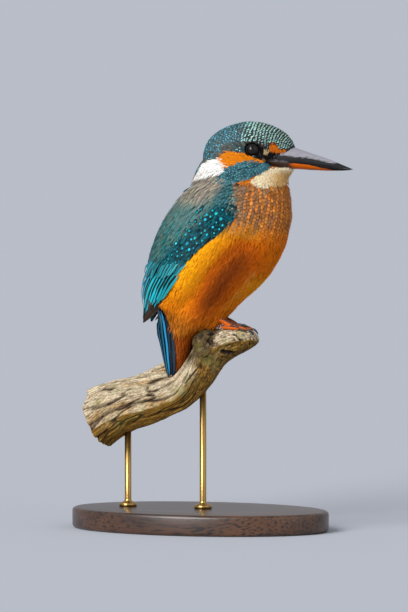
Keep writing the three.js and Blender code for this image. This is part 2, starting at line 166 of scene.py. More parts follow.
base_low, base_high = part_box("stand_base")
base_size = base_high - base_low
base_middle = (base_low + base_high) / 2
half_width = base_size.y / 2
ease = 1.6 * MM  # radius of the sanded edges
rim = [(math.sin(a) * ease, (1 - math.cos(a)) * ease) for a in np.linspace(0, math.pi / 2, 6)]
outline = [(half_width - ease + out, base_low.z + up) for out, up in rim]
outline += [(half_width - ease + out, base_high.z - up) for out, up in reversed(rim)]
outline += [(half_width * 0.6, base_high.z), (half_width * 0.2, base_high.z)]
base = turned("plinth", base_middle, outline, 96, (base_size.x / base_size.y, 1.0))
place_piece(base, stained_walnut(), "stand_plinth", "stand_base")

# ---- stand rods ----------------------------------------------------------------------------------
# Two straight brass rods with small turned collars, screwed into the plinth and pinned into the underside
# of the perch. The brass is brushed round the rod and lacquered, so that it shines softly in bands.


def lacquered_brass():
    """Brass, brushed on the lathe and lacquered: fine rings that blur the shine."""
    material, tree = new_material("lacquered_brass")
    brush_line = 0.25 * MM
    place = add_node(tree, "TexCoord", {}, {}).outputs["Object"]
    rings = add_node(tree, "Mapping", {}, {"Vector": place, "Scale": (0.05, 0.05, 1.0)})
    brushing = add_node(tree, "TexNoise", {}, {"Vector": rings, "Scale": 1 / brush_line, "Detail": 2.0})
    rough = add_node(tree, "MapRange", {}, {"Value": brushing, "To Min": 0.22, "To Max": 0.4})
    bump = add_node(tree, "Bump", {}, {"Height": brushing, "Strength": 0.2, "Distance": 0.05 * MM})
    shader = add_node(tree, "BsdfPrincipled", {},
                      {"Base Color": linear("#b08d4e"), "Metallic": 1.0, "Roughness": rough,
                       "Coat Weight": 0.2, "Normal": bump})
    return finished(material, shader)


brass = lacquered_brass()
ROD_SHARE = 0.38  # a rod's radius as a share of its collar's
PINNED = 1.5 * MM  # how far a rod's end goes into the wood
# The collar's profile: [share of its radius, millimetres up from the foot of the rod].
COLLAR_PROFILE = ((1, 1.1), (0.94, 1.5), (0.7, 1.9), (0.5, 2.2))
for end in ("front", "rear"):
    low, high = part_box("stand_rod_" + end)
    collar = (high.x - low.x) / 2
    rod = collar * ROD_SHARE
    outline = [(collar, base_high.z)] + [(collar * share, low.z + up * MM) for share, up in COLLAR_PROFILE]
    outline += [(rod * 1.04, low.z + 2.7 * MM), (rod, low.z + 3.4 * MM), (rod, high.z + PINNED)]
    stem = turned("rod_" + end, (low + high) / 2, outline, 40)
    place_piece(stem, brass, "stand_rod", "stand_rod_" + end)

# ---- perch ---------------------------------------------------------------------------------------
# A sawn length of an old root, dried and weathered to driftwood. Rain has cut the soft wood into long wavy
# grooves between hard ridges, the ridges have bleached to grey, and a little green algae has stayed in the
# damp middle.
# Where the wood faces up it is painted paler: bleaching, and painted light from above.
BRANCH = np.array(
    [[29.9, 0, 92], [23, 0, 91.4], [15, 0, 90], [6.5, 0, 85.4], [-0.6, 0, 75], [-9.6, 0, 66], [-23, 0, 61],
     [-38, 0, 58], [-53, 0, 51], [-66, 0, 42]]
) * MM  # the middle line of the root, from its tip to the sawn end


def voxelled(obj, voxel, rounds):
    """Makes the object's surface anew from small cubes, and smooths it."""
    remesh = obj.modifiers.new("voxels", "REMESH")
    remesh.mode = "VOXEL"
    remesh.voxel_size = voxel
    smooth = obj.modifiers.new("smooth", "SMOOTH")
    smooth.factor = 0.5
    smooth.iterations = rounds
    evaluated = obj.evaluated_get(bpy.context.evaluated_depsgraph_get())
    made = bpy.data.meshes.new_from_object(evaluated)
    obj.modifiers.clear()
    obj.data = made
    made.shade_smooth()


def fused(name, nodes, voxel, swell, rounds):
    """One smooth closed object over several of the frame's solids, swollen so that they run together."""
    shell = bmesh.new()
    for node in nodes:
        shell.from_mesh(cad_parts[node].data)
    bmesh.ops.remove_doubles(shell, verts=shell.verts, dist=0.001 * MM)
    shell.normal_update()
    for vertex in shell.verts:
        vertex.co += vertex.normal * swell
    mesh = bpy.data.meshes.new(name)
    shell.to_mesh(mesh)
    shell.free()
    obj = in_scene(name, mesh)
    voxelled(obj, voxel, rounds)
    return obj


def points_of(mesh):
    """The mesh's vertices and their normals as two arrays."""
    points = np.empty(len(mesh.vertices) * 3)
    mesh.vertices.foreach_get("co", points)
    normals = np.empty(len(mesh.vertices) * 3)
    mesh.vertex_normals.foreach_get("vector", normals)
    return points.reshape(-1, 3), normals.reshape(-1, 3)


def move_points(mesh, points):
    """Puts the vertices at new places."""
    mesh.vertices.foreach_set("co", np.ascontiguousarray(points, dtype=np.float32).ravel())
    mesh.update()


def set_attribute(mesh, name, kind, values):
    """Stores a value for each vertex: a FLOAT, a FLOAT_VECTOR or a FLOAT_COLOR."""
    field = {"FLOAT": "value", "FLOAT_VECTOR": "vector", "FLOAT_COLOR": "color"}[kind]
    values = np.asarray(values, dtype=np.float32)
    if kind == "FLOAT_COLOR":
        values = np.hstack([values, np.ones((len(values), 1), dtype=np.float32)])
    mesh.attributes.new(name, kind, "POINT").data.foreach_set(field, np.ascontiguousarray(values).ravel())


def smoothstep(low, high, values):
    """0 below low, 1 above high, and an even rise between them."""
    t = np.clip((values - low) / (high - low), 0, 1)
    return t * t * (3 - 2 * t)


def refined(line, count):
    """A smooth curve through the points, as count points evenly spread over it."""
    before = np.vstack([2 * line[0] - line[1], line, 2 * line[-1] - line[-2]])
    t = np.linspace(0, len(line) - 1.0001, count * 4)
    i = t.astype(int)
    u = (t - i)[:, None]
    a, b, c, d = (before[i + k] for k in range(4))
    curve = 0.5 * (2 * b + (c - a) * u + (2 * a - 5 * b + 4 * c - d) * u**2 + (3 * b - a - 3 * c + d) * u**3)
    arc = np.concatenate([[0], np.cumsum(np.linalg.norm(np.diff(curve, axis=0), axis=1))])
    even = np.linspace(0, arc[-1], count)
    return np.stack([np.interp(even, arc, curve[:, k]) for k in range(3)], axis=1)


def unit(vectors):
    """The same directions with a length of one."""
    return vectors / np.maximum(np.linalg.norm(vectors, axis=-1, keepdims=True), 1e-12)


def grain_place(points):
    """Each point's distance along the root and its place round it, as a vector that turns with the root."""
    middle = refined(BRANCH, 160)
    step = np.linalg.norm(middle[1] - middle[0])
    near = np.argmin(((points[:, None] - middle[None]) ** 2).sum(2), axis=1)
    ahead = unit(np.gradient(middle, axis=0))[near]
    out = points - middle[near]
    across = out[:, 1]
    top = out[:, 2] * ahead[:, 0] - out[:, 0] * ahead[:, 2]
    along = near * step + (out * ahead).sum(1)
    turn = along / (60 * MM)  # the grain winds slowly round the root
    turned_across = across * np.cos(turn) - top * np.sin(turn)
    turned_top = across * np.sin(turn) + top * np.cos(turn)
    return np.stack([turned_across, turned_top, along], axis=1)


def noise_at(points, scale, stretch=(1, 1, 1)):
    """Smooth noise at each point, about -1 to 1, with features of about the scale."""
    spots = points * (np.asarray(stretch) / scale)
    return np.array([noise.noise(Vector(spot)) for spot in spots])


def driftwood():
    """Bare weathered root wood: pale on top, bleached and with painted light from above, yellow-brown below,
    darker underneath as painted shade, dark in the grooves, dull all over.
    """
    material, tree = new_material("weathered_driftwood")
    grain = add_node(tree, "Attribute", {"attribute_name": "Grain"}, {}).outputs["Vector"]
    height, up_light_and_bleach, burr, darkening_and_shade = (
        add_node(tree, "Attribute", {"attribute_name": label}, {}).outputs["Fac"]
        for label in ("Height", "Up light and bleach", "Burr", "Darkening and shade")
    )
    place = add_node(tree, "TexCoord", {}, {}).outputs["Object"]
    fibre_width = 0.45 * MM
    along = add_node(tree, "Mapping", {}, {"Vector": grain, "Scale": (1.0, 1.0, 0.08)})
    fibres = add_node(tree, "TexNoise", {},
                      {"Vector": along, "Scale": 1 / fibre_width, "Detail": 6.0, "Roughness": 0.7})
    checks = add_node(tree, "TexNoise", {},
                      {"Vector": along, "Scale": 0.5 / fibre_width, "Detail": 4.0, "Distortion": 0.8})
    blotches = add_node(tree, "TexNoise", {},
                        {"Vector": place, "Scale": 1 / (7 * MM), "Detail": 5.0, "Roughness": 0.6})
    bleach_and_light_noise = add_node(tree, "Math", {"operation": "MULTIPLY_ADD"}, {0: blotches, 1: 1.6, 2: up_light_and_bleach})
    bleach_and_light = add_node(tree, "MapRange", SOFT, {"Value": bleach_and_light_noise, "From Min": 0.35, "From Max": 1.35})
    ridge = add_node(tree, "Mix", MIX, {0: bleach_and_light, 6: linear("#ab7f28"), 7: linear("#e2d2b2")}).outputs[2]
    # Darker towards the tip under the bird, and underneath as painted shade.
    darkening_amount = add_node(tree, "Math", {"operation": "MULTIPLY"}, {0: darkening_and_shade, 1: 0.95})
    ridge = add_node(tree, "Mix", MIX, {0: darkening_amount, 6: ridge, 7: linear("#54400f")}).outputs[2]
    low = add_node(tree, "MapRange", {}, {"Value": height, "From Min": -0.95, "From Max": 0.1})
    wood = add_node(tree, "Mix", MIX, {0: low, 6: linear("#3b2a1a"), 7: ridge}).outputs[2]
    streak = add_node(tree, "MapRange", {}, {"Value": fibres, "From Min": 0.4, "From Max": 0.6})
    stain = add_node(tree, "Mix", MIX, {0: streak, 6: linear("#6e4c16"), 7: linear("#ffffff")}).outputs[2]
    specks = add_node(tree, "TexNoise", {},
                      {"Vector": grain, "Scale": 1 / (1.0 * MM), "Detail": 5.0, "Roughness": 0.7})
    mottled = add_node(tree, "MapRange", {},
                       {"Value": specks, "From Min": 0.38, "From Max": 0.6, "To Min": 0.3, "To Max": 1.25})
    knotted = add_node(tree, "MapRange", {}, {"Value": burr, "To Min": 0.45, "To Max": 0.95})
    wood = add_node(tree, "Mix", TIMES, {0: knotted, 6: wood, 7: mottled}).outputs[2]
    streaked = add_node(tree, "Mix", TIMES, {0: 0.8, 6: wood, 7: stain}).outputs[2]
    damp = add_node(tree, "MapRange", {},
                    {"Value": blotches, "From Min": 0.52, "From Max": 0.66, "To Max": 0.5})
    algae = add_node(tree, "Mix", MIX, {0: damp, 6: streaked, 7: linear("#75702f")}).outputs[2]
    crack = add_node(tree, "MapRange", {}, {"Value": checks, "From Min": 0.26, "From Max": 0.31})
    colour = add_node(tree, "Mix", MIX, {0: crack, 6: linear("#1c1209"), 7: algae}).outputs[2]
    fine = add_node(tree, "Bump", {}, {"Height": fibres, "Strength": 0.8, "Distance": 0.35 * MM})
    bump = add_node(tree, "Bump", {},
                    {"Height": crack, "Strength": 0.7, "Distance": 0.4 * MM, "Normal": fine})
    shader = add_node(tree, "BsdfPrincipled", {},
                      {"Base Color": colour, "Roughness": 0.9, "IOR": 1.4, "Normal": bump})
    return finished(material, shader)


# Old wounds in the wood: places on its surface, how far each reaches and how deep it is, in millimetres.
CHECKS = (
    ((16.8, -6.4, 98.0), (20.4, -7.1, 94.8), 0.5, 1.6), ((20.4, -7.1, 94.8), (23.5, -7.9, 92.0), 0.4, 1.2),
    ((14.7, -8.3, 86.1), (19.4, -6.2, 85.1), 0.9, 2.2), ((7.6, -8.8, 91.9), (8.4, -8.8, 90.7), 1.0, 2.0),
    ((-24, -6, 70), (-33, -9, 66.5), 0.5, 1.5), ((3.0, -9.4, 79), (-4, -10, 71), 0.45, 1.4),
    ((12.0, -4.3, 98.0), (8.4, -6.6, 95.6), 1.2, 1.3), ((12.0, 4.3, 98.0), (8.4, 6.6, 95.6), 1.2, 1.3),
)


def cut_depth(points):
    """How deep the wounds and cracks are at each point."""
    depth = np.zeros(len(points))
    for start, end, reach, deep in CHECKS:
        start, end = np.array(start) * MM, np.array(end) * MM
        line = end - start
        share = np.clip((points - start) @ line / (line @ line), 0, 1)
        away = np.linalg.norm(points - start - share[:, None] * line, axis=1)
        away = away + 0.25 * MM * noise_at(points, 0.8 * MM)
        depth = np.maximum(depth, deep * smoothstep(reach * 1.8, reach * 0.6, away / MM))
    return depth * MM


GROOVE_DEPTH = 1.05 * MM
RIDGE_TOP = 0.3  # how high the ridges stand, in groove depths
WAVER = 2.2 * MM  # how far the grooves waver from side to side
perch = fused("driftwood", ["perch"], 0.42 * MM, 0, 3)
points, normals = points_of(perch.data)
grain = grain_place(points)
bend = np.stack([noise_at(points + k, 16 * MM) * WAVER for k in (0, 1)] + [np.zeros(len(points))], axis=1)
ridges = noise_at(grain + bend, 3.6 * MM, (1, 1, 0.13))
narrow = noise_at(grain + bend + 0.3, 1.5 * MM, (1, 1, 0.1))
waves = noise_at(points, 9 * MM)
grooves = smoothstep(0.17, 0, np.abs(ridges + 0.06)) + 0.45 * smoothstep(0.2, 0, np.abs(narrow))
# The end under the bird is a burr: its grain is short and knotted.
burr = smoothstep(-6 * MM, 6 * MM, points[:, 0])
# The wood is darker towards its tip under the bird.
darkening_and_shade = smoothstep(13 * MM, 8 * MM, points[:, 0]) * smoothstep(75 * MM, 85 * MM, points[:, 2])
# The underside is painted darker: painted shade.
underside_shade = 0.4 * smoothstep(0.1, -0.6, normals[:, 2])
darkening_and_shade = np.maximum(darkening_and_shade, underside_shade) * smoothstep(-12 * MM, -4 * MM, points[:, 0])
darkening_and_shade = np.clip(darkening_and_shade + 0.35 * noise_at(points, 3 * MM), 0, 1)
knots = noise_at(points, 2.2 * MM) + 0.5 * noise_at(points, 0.9 * MM)
grooves = grooves * (1 - 0.75 * burr) + 0.7 * burr * smoothstep(-0.15, -0.5, knots)
wood_height = np.clip(0.35 + 0.5 * ridges + 0.25 * narrow + 0.3 * waves - grooves, -1.3, RIDGE_TOP)
wounds = cut_depth(points)
# The wood keeps its sawn size: the grooves are cut in, and the ridges stand where the wood's surface was.
points = points + normals * ((wood_height - RIDGE_TOP) * GROOVE_DEPTH - wounds)[:, None]
move_points(perch.data, points)
set_attribute(perch.data, "Grain", "FLOAT_VECTOR", grain)
set_attribute(perch.data, "Height", "FLOAT", wood_height - wounds / MM)
# Facing up makes the wood paler: bleaching and painted light from above together.
set_attribute(perch.data, "Up light and bleach", "FLOAT", normals[:, 2] + 0.35 * waves)
set_attribute(perch.data, "Burr", "FLOAT", burr)
set_attribute(perch.data, "Darkening and shade", "FLOAT", darkening_and_shade)
place_piece(perch, driftwood(), "driftwood", "perch")

# ---- skin ----------------------------------------------------------------------------------------
# The mounted skin: head, neck, trunk, folded wings and tail in one, drawn over a carved body. It lies under
# the feathers by their depth, and it takes their colours, painted shade included, so that no bare place shows
# between two feathers.
FLESH = ["head", "neck", "trunk", "tail", "wing_right", "wing_left"]
NECK_PIVOT_AHEAD = 7.2 * MM  # from the upright line that the head turns about to the eyes
NECK_PIVOT_UNDER = 3.5 * MM  # from the head's level middle line up to the eyes
TRUNK_TOP = np.array([25.8, 0, 176.7]) * MM
TRUNK_END = np.array([-9.0, 0, 88.7]) * MM
WING_FROM, WING_TO = 0.1, 0.975  # where the folded wing begins and ends along the trunk
# Rows are [along the wing, lower edge, upper edge], as degrees round the trunk from the breast.
WING_EDGES = np.array(
    [[0, 84, 120], [0.06, 72, 143], [0.15, 66, 155], [0.25, 71, 162], [0.4, 84, 166], [0.55, 97, 167],
     [0.7, 107, 167], [0.8, 115, 165], [0.87, 126, 163], [0.94, 142, 161], [1, 153, 158]]
)
right_eye = sum(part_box("eye_right"), Vector()) / 2
left_eye = sum(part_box("eye_left"), Vector()) / 2
head_left = np.array((left_eye - right_eye).normalized())
head_ahead = np.cross(head_left, [0, 0, 1])
head_origin = np.array((left_eye + right_eye) / 2) - head_ahead * NECK_PIVOT_AHEAD
head_origin[2] -= NECK_PIVOT_UNDER
trunk_line = TRUNK_END - TRUNK_TOP
trunk_length = np.linalg.norm(trunk_line)
trunk_line = trunk_line / trunk_length
trunk_breast = np.array([1.0, 0, 0]) - trunk_line[0] * trunk_line
trunk_breast /= np.linalg.norm(trunk_breast)
# The orange flank feathers cover the wing's lower edge up to here: [along the trunk, degrees round it].
FLANK_EDGE = np.array(
    [[0.1, 79], [0.19, 66], [0.24, 67], [0.29, 70], [0.39, 81], [0.46, 91], [0.6, 104], [0.7, 111],
     [0.75, 119], [0.81, 131], [0.85, 136], [0.88, 137], [0.93, 126]]
)
FLANK_WIDTH = 30  # degrees round the trunk that the flank feathers fill below that edge
FLANK_OVER = 3  # degrees that they fill above it
# The belly is painted darkest, as painted shade, between each flank and its own middle, round here: [along
# the trunk, degrees].
PAINTED_SHADE_LINE = np.array([[0.35, 44], [0.45, 46], [0.5, 48], [0.57, 53], [0.63, 54], [0.7, 56], [0.8, 58]])


def read_off(rows, places, column=1):
    """The values in a column of a table at places between those of its first column."""
    return np.interp(places, rows[:, 0], rows[:, column])


def head_place(points):
    """Places in the head's own frame, in millimetres: ahead, to the left, up."""
    away = points - head_origin
    return np.stack([away @ head_ahead, away @ head_left, away[:, 2]], axis=1) / MM


def from_eye(place):
    """How far each place on the side of the head lies from the middle of the eye."""
    return np.hypot(place[:, 0] - NECK_PIVOT_AHEAD / MM, place[:, 2] - NECK_PIVOT_UNDER / MM)


def trunk_place(points):
    """How far along the trunk each point lies, 0 to 1, and its degrees round it from the breast."""
    away = points - TRUNK_TOP
    along = away @ trunk_line
    return along / trunk_length, np.degrees(np.arctan2(np.abs(points[:, 1]), away @ trunk_breast))


def wing_place(along, round_trunk):
    """How far along the wing a place lies, and its degrees above the lower edge and below the upper one."""
    t = np.clip((along - WING_FROM) / (WING_TO - WING_FROM), 0, 1)
    low, high = (read_off(WING_EDGES, t, column) for column in (1, 2))
    return (along - WING_FROM) / (WING_TO - WING_FROM), round_trunk - low, high - round_trunk


def inside(places, outline):
    """How far each flat place lies inside an outline, and below 0 outside it."""
    a = np.asarray(outline, dtype=float)
    b = np.roll(a, -1, axis=0)
    edge = b - a
    away = places[:, None] - a[None]
    t = np.clip((away * edge).sum(2) / (edge * edge).sum(1), 0, 1)
    distance = np.linalg.norm(away - t[..., None] * edge, axis=2).min(1)
    above_a = places[:, None, 1] >= a[None, :, 1]
    above_b = places[:, None, 1] >= b[None, :, 1]
    cross = edge[:, 0] * away[..., 1] - edge[:, 1] * away[..., 0]
    turns = (above_b & ~above_a & (cross > 0)).astype(int) - (~above_b & above_a & (cross < 0)).astype(int)
    return np.where(turns.sum(1) != 0, distance, -distance)


# Outlines on the side of the head, as [ahead, up] in millimetres.
BILL_BASE = [(25.8, 4.6), (21.5, 2.0), (17.4, -0.2), (13.2, -1.5), (16.6, -4.5), (24.6, -6.2), (60, -14),
             (60, 10)]
CROWN_EDGE = np.array(
    [(-40, -8), (-19, -4.2), (-16.7, -3.4), (-10.2, -1), (-9.6, -0.1), (-6.3, 3), (2.1, 4.6), (3.7, 5.2),
     (6.6, 7.9), (10.7, 6.9), (13.7, 5.6), (15.6, 6.6), (18, 7), (21, 5.6), (22.8, 4.4), (25.6, 4.9), (40, 5)]
)
EAR = [(4.3, 2), (0.1, 2.6), (-5.2, 3), (-8.5, 0.9), (-10.2, -0.7), (-7.3, -3.7), (-5, -5.7), (-1.4, -3.1),
       (2.2, -1.8), (6.8, -1.7), (14, -2.3), (14, -1.2), (10.9, -0.6), (6.8, 0.6)]
WHITE = [(-10.2, -0.9), (-6.8, -2.7), (-5.6, -5.7), (-9.2, -8.6), (-13.6, -9.6), (-18, -10.9), (-24, -12),
         (-22.5, -6.5), (-18, -3.6), (-14.8, -1.7)]
THROAT = [(16.5, -4.6), (24.6, -6), (27, -7.3), (25, -10), (24.4, -12.4), (21.5, -14.4), (18.5, -14),
          (14, -15), (10.5, -14.2), (7.2, -12), (8.4, -10), (12.4, -7.2)]
MALAR = [(16, -2.6), (6.8, -1.7), (1.2, -2.2), (-2.4, -4.2), (-5.5, -5.7), (-9.1, -9.3), (-11, -12),
         (-9, -14.6), (-4.8, -14), (0.6, -12), (7.3, -9.7), (11.2, -7.7), (17.6, -4.4)]
LORE = [(10.7, 6.4), (15.7, 3.4), (22.5, 2.4), (21.5, 1), (14, -0.9), (9.8, -0.1), (5.4, 1.3), (5, 4)]
LORAL_ORANGE = [(14.3, 5.6), (16.6, 7.0), (19.4, 6.2), (22.3, 4), (23.2, 2.2), (21, 1.6), (18.1, 2),
                (15.4, 3)]
LORAL_SPOT = (13.8, 2.8)
LORAL_SPOT_RADIUS = 1.35
(CROWN_ID, EAR_ID, WHITE_ID, MALAR_ID, THROAT_ID, LORE_ID, ORANGE_ID, SPOT_ID, NAPE_ID, COLLAR_ID,
 MANTLE_ID) = range(11)


def head_region(place):
    """Which marking each place on the head belongs to."""
    ahead, across, up = place[:, 0], np.abs(place[:, 1]), place[:, 2]
    side = place[:, [0, 2]]
    region = np.full(len(place), NAPE_ID)
    region[(up < -3) & (ahead > -2)] = COLLAR_ID
    region[(inside(side, THROAT) > 0) | ((across < 6) & (ahead > 14) & (up < 0))] = THROAT_ID
    region[(up < -8) & (ahead < -3)] = MANTLE_ID
    region[inside(side, MALAR) > 0] = MALAR_ID
    region[up > read_off(CROWN_EDGE, ahead)] = CROWN_ID
    region[(inside(side, WHITE) > 0) & (across > 3)] = WHITE_ID
    for outline, key in ((EAR, EAR_ID), (LORE, LORE_ID), (LORAL_ORANGE, ORANGE_ID)):
        region[inside(side, outline) > 0] = key
    region[np.hypot(ahead - LORAL_SPOT[0], up - LORAL_SPOT[1]) < LORAL_SPOT_RADIUS] = SPOT_ID
    region[(across < 6.5) & (up > 4)] = CROWN_ID
    return region


HEAD_COLOURS = {
    CROWN_ID: "#1d3234",
    EAR_ID: "#e08000",
    WHITE_ID: "#eae8e2",
    MALAR_ID: "#28535b",
    THROAT_ID: "#f8e8c4",
    LORE_ID: "#0d0a09",
    ORANGE_ID: "#e67c10",
    SPOT_ID: "#cfb283",
    NAPE_ID: "#1f4149",
    COLLAR_ID: "#d67a1c",
    MANTLE_ID: "#83786a",
}
TAIL_FROM = -10.9 * MM  # the blue of the tail lies behind this
HEAD_UNDER = -12.6  # the head's feathers end at this height, in its own frame


def mixed(low, high, amount):
    """Colours between two, in rows. Each of the two is an sRGB hex value or has rows of its own."""
    low, high = (linear(colour) if isinstance(colour, str) else colour for colour in (low, high))
    amount = np.asarray(amount)[:, None]
    return np.asarray(low)[..., :3] * (1 - amount) + np.asarray(high)[..., :3] * amount


def above_flank(along, round_trunk):
    """The degrees round the trunk from the top of the flank feathers, above 0 on the wing."""
    return round_trunk - read_off(FLANK_EDGE, along)


def belly_colour_and_shade(points):
    """Orange, brightest on the flanks, and through red to a dull dark brown on the middle of the belly:
    painted shade, as is the redder orange on the front.
    """
    along, round_trunk = trunk_place(points)
    orange = mixed("#ffb200", "#f48800", smoothstep(0.126, 0.104, points[:, 2]))
    # The front is a redder orange: painted shade on the side turned away from the key light.
    front = smoothstep(48, 25, round_trunk) * smoothstep(0.115, 0.125, points[:, 2])
    orange = mixed(orange, "#ec8000", front)
    orange = mixed(orange, "#9c5008", 0.8 * smoothstep(0.81, 0.88, along))
    # A band of painted shade, red and then dark brown, lies between each flank and the middle.
    over = round_trunk - read_off(PAINTED_SHADE_LINE, along)
    painted_shade = np.exp(-((over / np.where(over > 0, 24, 25)) ** 2))
    painted_shade *= smoothstep(0.2, 0.5, along) * smoothstep(0.95, 0.7, along)
    red = mixed(orange, "#cf6200", np.minimum(1.9 * painted_shade, 1))
    return mixed(red, "#521c00", np.maximum(1.7 * painted_shade - 1, 0))


def markings_and_shade(points):
    """The ground colour of the plumage at each point, with painted shade on the belly, the throat and under
    the wing's edge.
    """
    place = head_place(points)
    along, round_trunk = trunk_place(points)
    _, above, below = wing_place(along, round_trunk)
    breast = mixed("#d97a22", "#9a6a3a", np.full(len(points), 0.4))
    low_breast = points[:, 2] + 0.06 * np.abs(points[:, 1])
    colour = mixed(breast, belly_colour_and_shade(points), smoothstep(0.150, 0.138, low_breast))
    colour = mixed(colour, "#8f4206", smoothstep(0.097, 0.092, points[:, 2]))
    tail_blue = (points[:, 2] < 0.1) & (points[:, 0] < TAIL_FROM)
    colour = np.where(tail_blue[:, None], linear("#0c4a70")[:3], colour)
    # Above the flank feathers the skin takes the wing's teal, darkest near the wing's lower edge: painted
    # shade in the hollow under it.
    teal_and_shade = (above_flank(along, round_trunk) > 0) & (points[:, 2] > 0.098)
    teal_and_shade &= (along < 0.98) & (along > 0.08)
    teal = mixed("#0b2f35", "#1d4f4e", smoothstep(10, 50, above))
    colour = np.where(teal_and_shade[:, None], teal, colour)
    upper = (round_trunk > 100) & (along < 0.26) & (along < 0.06 + 0.0042 * (round_trunk - 84))
    colour = np.where(upper[:, None], linear("#85786a")[:3], colour)
    back = (below < 0) & (round_trunk > 120)
    colour = np.where(back[:, None], linear("#1f9cc8")[:3], colour)
    region = head_region(place)
    on_head = (place[:, 2] > HEAD_UNDER) | (inside(place[:, [0, 2]], THROAT) > 0)
    for key, code in HEAD_COLOURS.items():
        colour = np.where((on_head & (region == key))[:, None], linear(code)[:3], colour)
    on_throat = on_head & (region == THROAT_ID)
    # The throat is painted a golden tan towards the front and below: painted shade.
    tan = smoothstep(13, 21, place[:, 0]) * smoothstep(-6, -9, place[:, 2]) * on_throat
    return mixed(colour, "#dca83e", 0.7 * tan)


def trunk_ray(along, degrees, side):
    """A place on the trunk's middle line and the way out from it, at a turn from the breast to one side."""
    angle = math.radians(degrees)
    out = trunk_breast * math.cos(angle) + np.array([0, side * math.sin(angle), 0])
    return TRUNK_TOP + trunk_line * trunk_length * along, out


OUTSIDE = 0.08  # rays at the body start this far from its middle line


def filled_flanks(points, tree):
    """The points, moved out where the flank feathers fill the hollow under the wing's lower edge."""
    along, round_trunk = trunk_place(points)
    stations = np.linspace(0.12, 0.92, 41)
    radii = np.empty((2, len(stations)))
    for row, shift in enumerate((-FLANK_WIDTH, FLANK_OVER)):
        for k, (t, degrees) in enumerate(zip(stations, read_off(FLANK_EDGE, stations) + shift)):
            middle, out = trunk_ray(t, degrees, -1)
            hit = tree.ray_cast(Vector(middle + out * OUTSIDE), Vector(-out))[0]
            radii[row, k] = (np.array(hit) - middle) @ out
    low, high = (np.interp(along, stations, row) for row in radii)
    over = above_flank(along, round_trunk)
    rise = np.clip((over + FLANK_WIDTH) / (FLANK_WIDTH + FLANK_OVER), 0, 1)
    wanted = low + (high - low) * rise + 0.6 * MM * np.sin(math.pi * rise)
    middle = TRUNK_TOP + trunk_line * (along * trunk_length)[:, None]
    out = points - middle
    radius = np.linalg.norm(out, axis=1)
    amount = smoothstep(0.13, 0.2, along) * smoothstep(0.92, 0.86, along)
    amount = amount * (over > -FLANK_WIDTH) * smoothstep(5, 3, over)
    further = np.maximum(wanted - radius, 0) * amount * (radius > 0.7 * wanted)
    return points + out / radius[:, None] * further[:, None]


def surface_of(mesh):
    """The mesh's vertices, their normals, its triangles, and the tree for finding places on it."""
    points, normals = points_of(mesh)
    mesh.calc_loop_triangles()
    faces = np.empty(len(mesh.loop_triangles) * 3, dtype=np.int32)
    mesh.loop_triangles.foreach_get("vertices", faces)
    faces = faces.reshape(-1, 3)
    return points, normals, faces, BVHTree.FromPolygons(points.tolist(), faces.tolist())


FORM_VOXEL = 0.8 * MM
form = fused("form", FLESH, FORM_VOXEL, 0.2 * MM, 6)
form_points, _, _, form_tree = surface_of(form.data)
move_points(form.data, filled_flanks(form_points, form_tree))
voxelled(form, FORM_VOXEL, 8)
form_points, form_normals, form_faces, form_tree = surface_of(form.data)


def coat_depth(points):
    """How far the skin lies under the coat's surface."""
    on_head = smoothstep(-16, -8, head_place(points)[:, 2])
    return (1.3 * (1 - on_head) + 0.7 * on_head) * MM


THICKEST = 12 * MM


def thickness(points, normals):
    """How thick the body is under each point, up to the thickest that is asked for."""
    found = np.full(len(points), THICKEST)
    for i, (point, normal) in enumerate(zip(points, normals)):
        inward = -Vector(normal)
        hit = form_tree.ray_cast(Vector(point) + inward * 0.05 * MM, inward, THICKEST)
        if hit[0] is not None:
            found[i] = hit[3]
    return found


DEEPEST = 0.36  # the skin lies no deeper than this share of the body's thickness
form_depth = np.minimum(coat_depth(form_points), DEEPEST * thickness(form_points, form_normals))
skin_points = form_points - form_normals * form_depth[:, None]
# The skin stops at the horn of the bill and goes round the eyes.
place = head_place(form_points)
pulled = 1.6 * MM * smoothstep(3.6, 2.2, from_eye(place)) * (place[:, 2] > -8)
pulled += 3.4 * MM * smoothstep(-0.8, 0.8, inside(place[:, [0, 2]], BILL_BASE))
skin_points -= form_normals * pulled[:, None]


def plumage_skin():
    """Skin under the feathers: dull, with the tint of the plumage and its painted shade, and a fine pimpled
    surface.
    """
    material, tree = new_material("tinted_skin")
    tint = add_node(tree, "Attribute", {"attribute_name": "Ground"}, {}).outputs["Color"]
    place = add_node(tree, "TexCoord", {}, {}).outputs["Object"]
    pimples = add_node(tree, "TexNoise", {}, {"Vector": place, "Scale": 1 / (0.8 * MM), "Detail": 3.0})
    shade = add_node(tree, "MapRange", {},
                     {"Value": pimples, "From Min": 0.3, "From Max": 0.7, "To Min": 0.55, "To Max": 0.95})
    colour = add_node(tree, "Mix", TIMES, {0: 1.0, 6: tint, 7: shade}).outputs[2]
    bump = add_node(tree, "Bump", {}, {"Height": pimples, "Strength": 0.4, "Distance": 0.3 * MM})
    shader = add_node(tree, "BsdfPrincipled", {}, {"Base Color": colour, "Roughness": 0.8, "Normal": bump})
    return finished(material, shader)


skin = in_scene("skin", form.data.copy())
move_points(skin.data, skin_points)
set_attribute(skin.data, "Ground", "FLOAT_COLOR", markings_and_shade(form_points))
place_piece(skin, plumage_skin(), "plumage_body", *FLESH)
bpy.data.objects.remove(form)

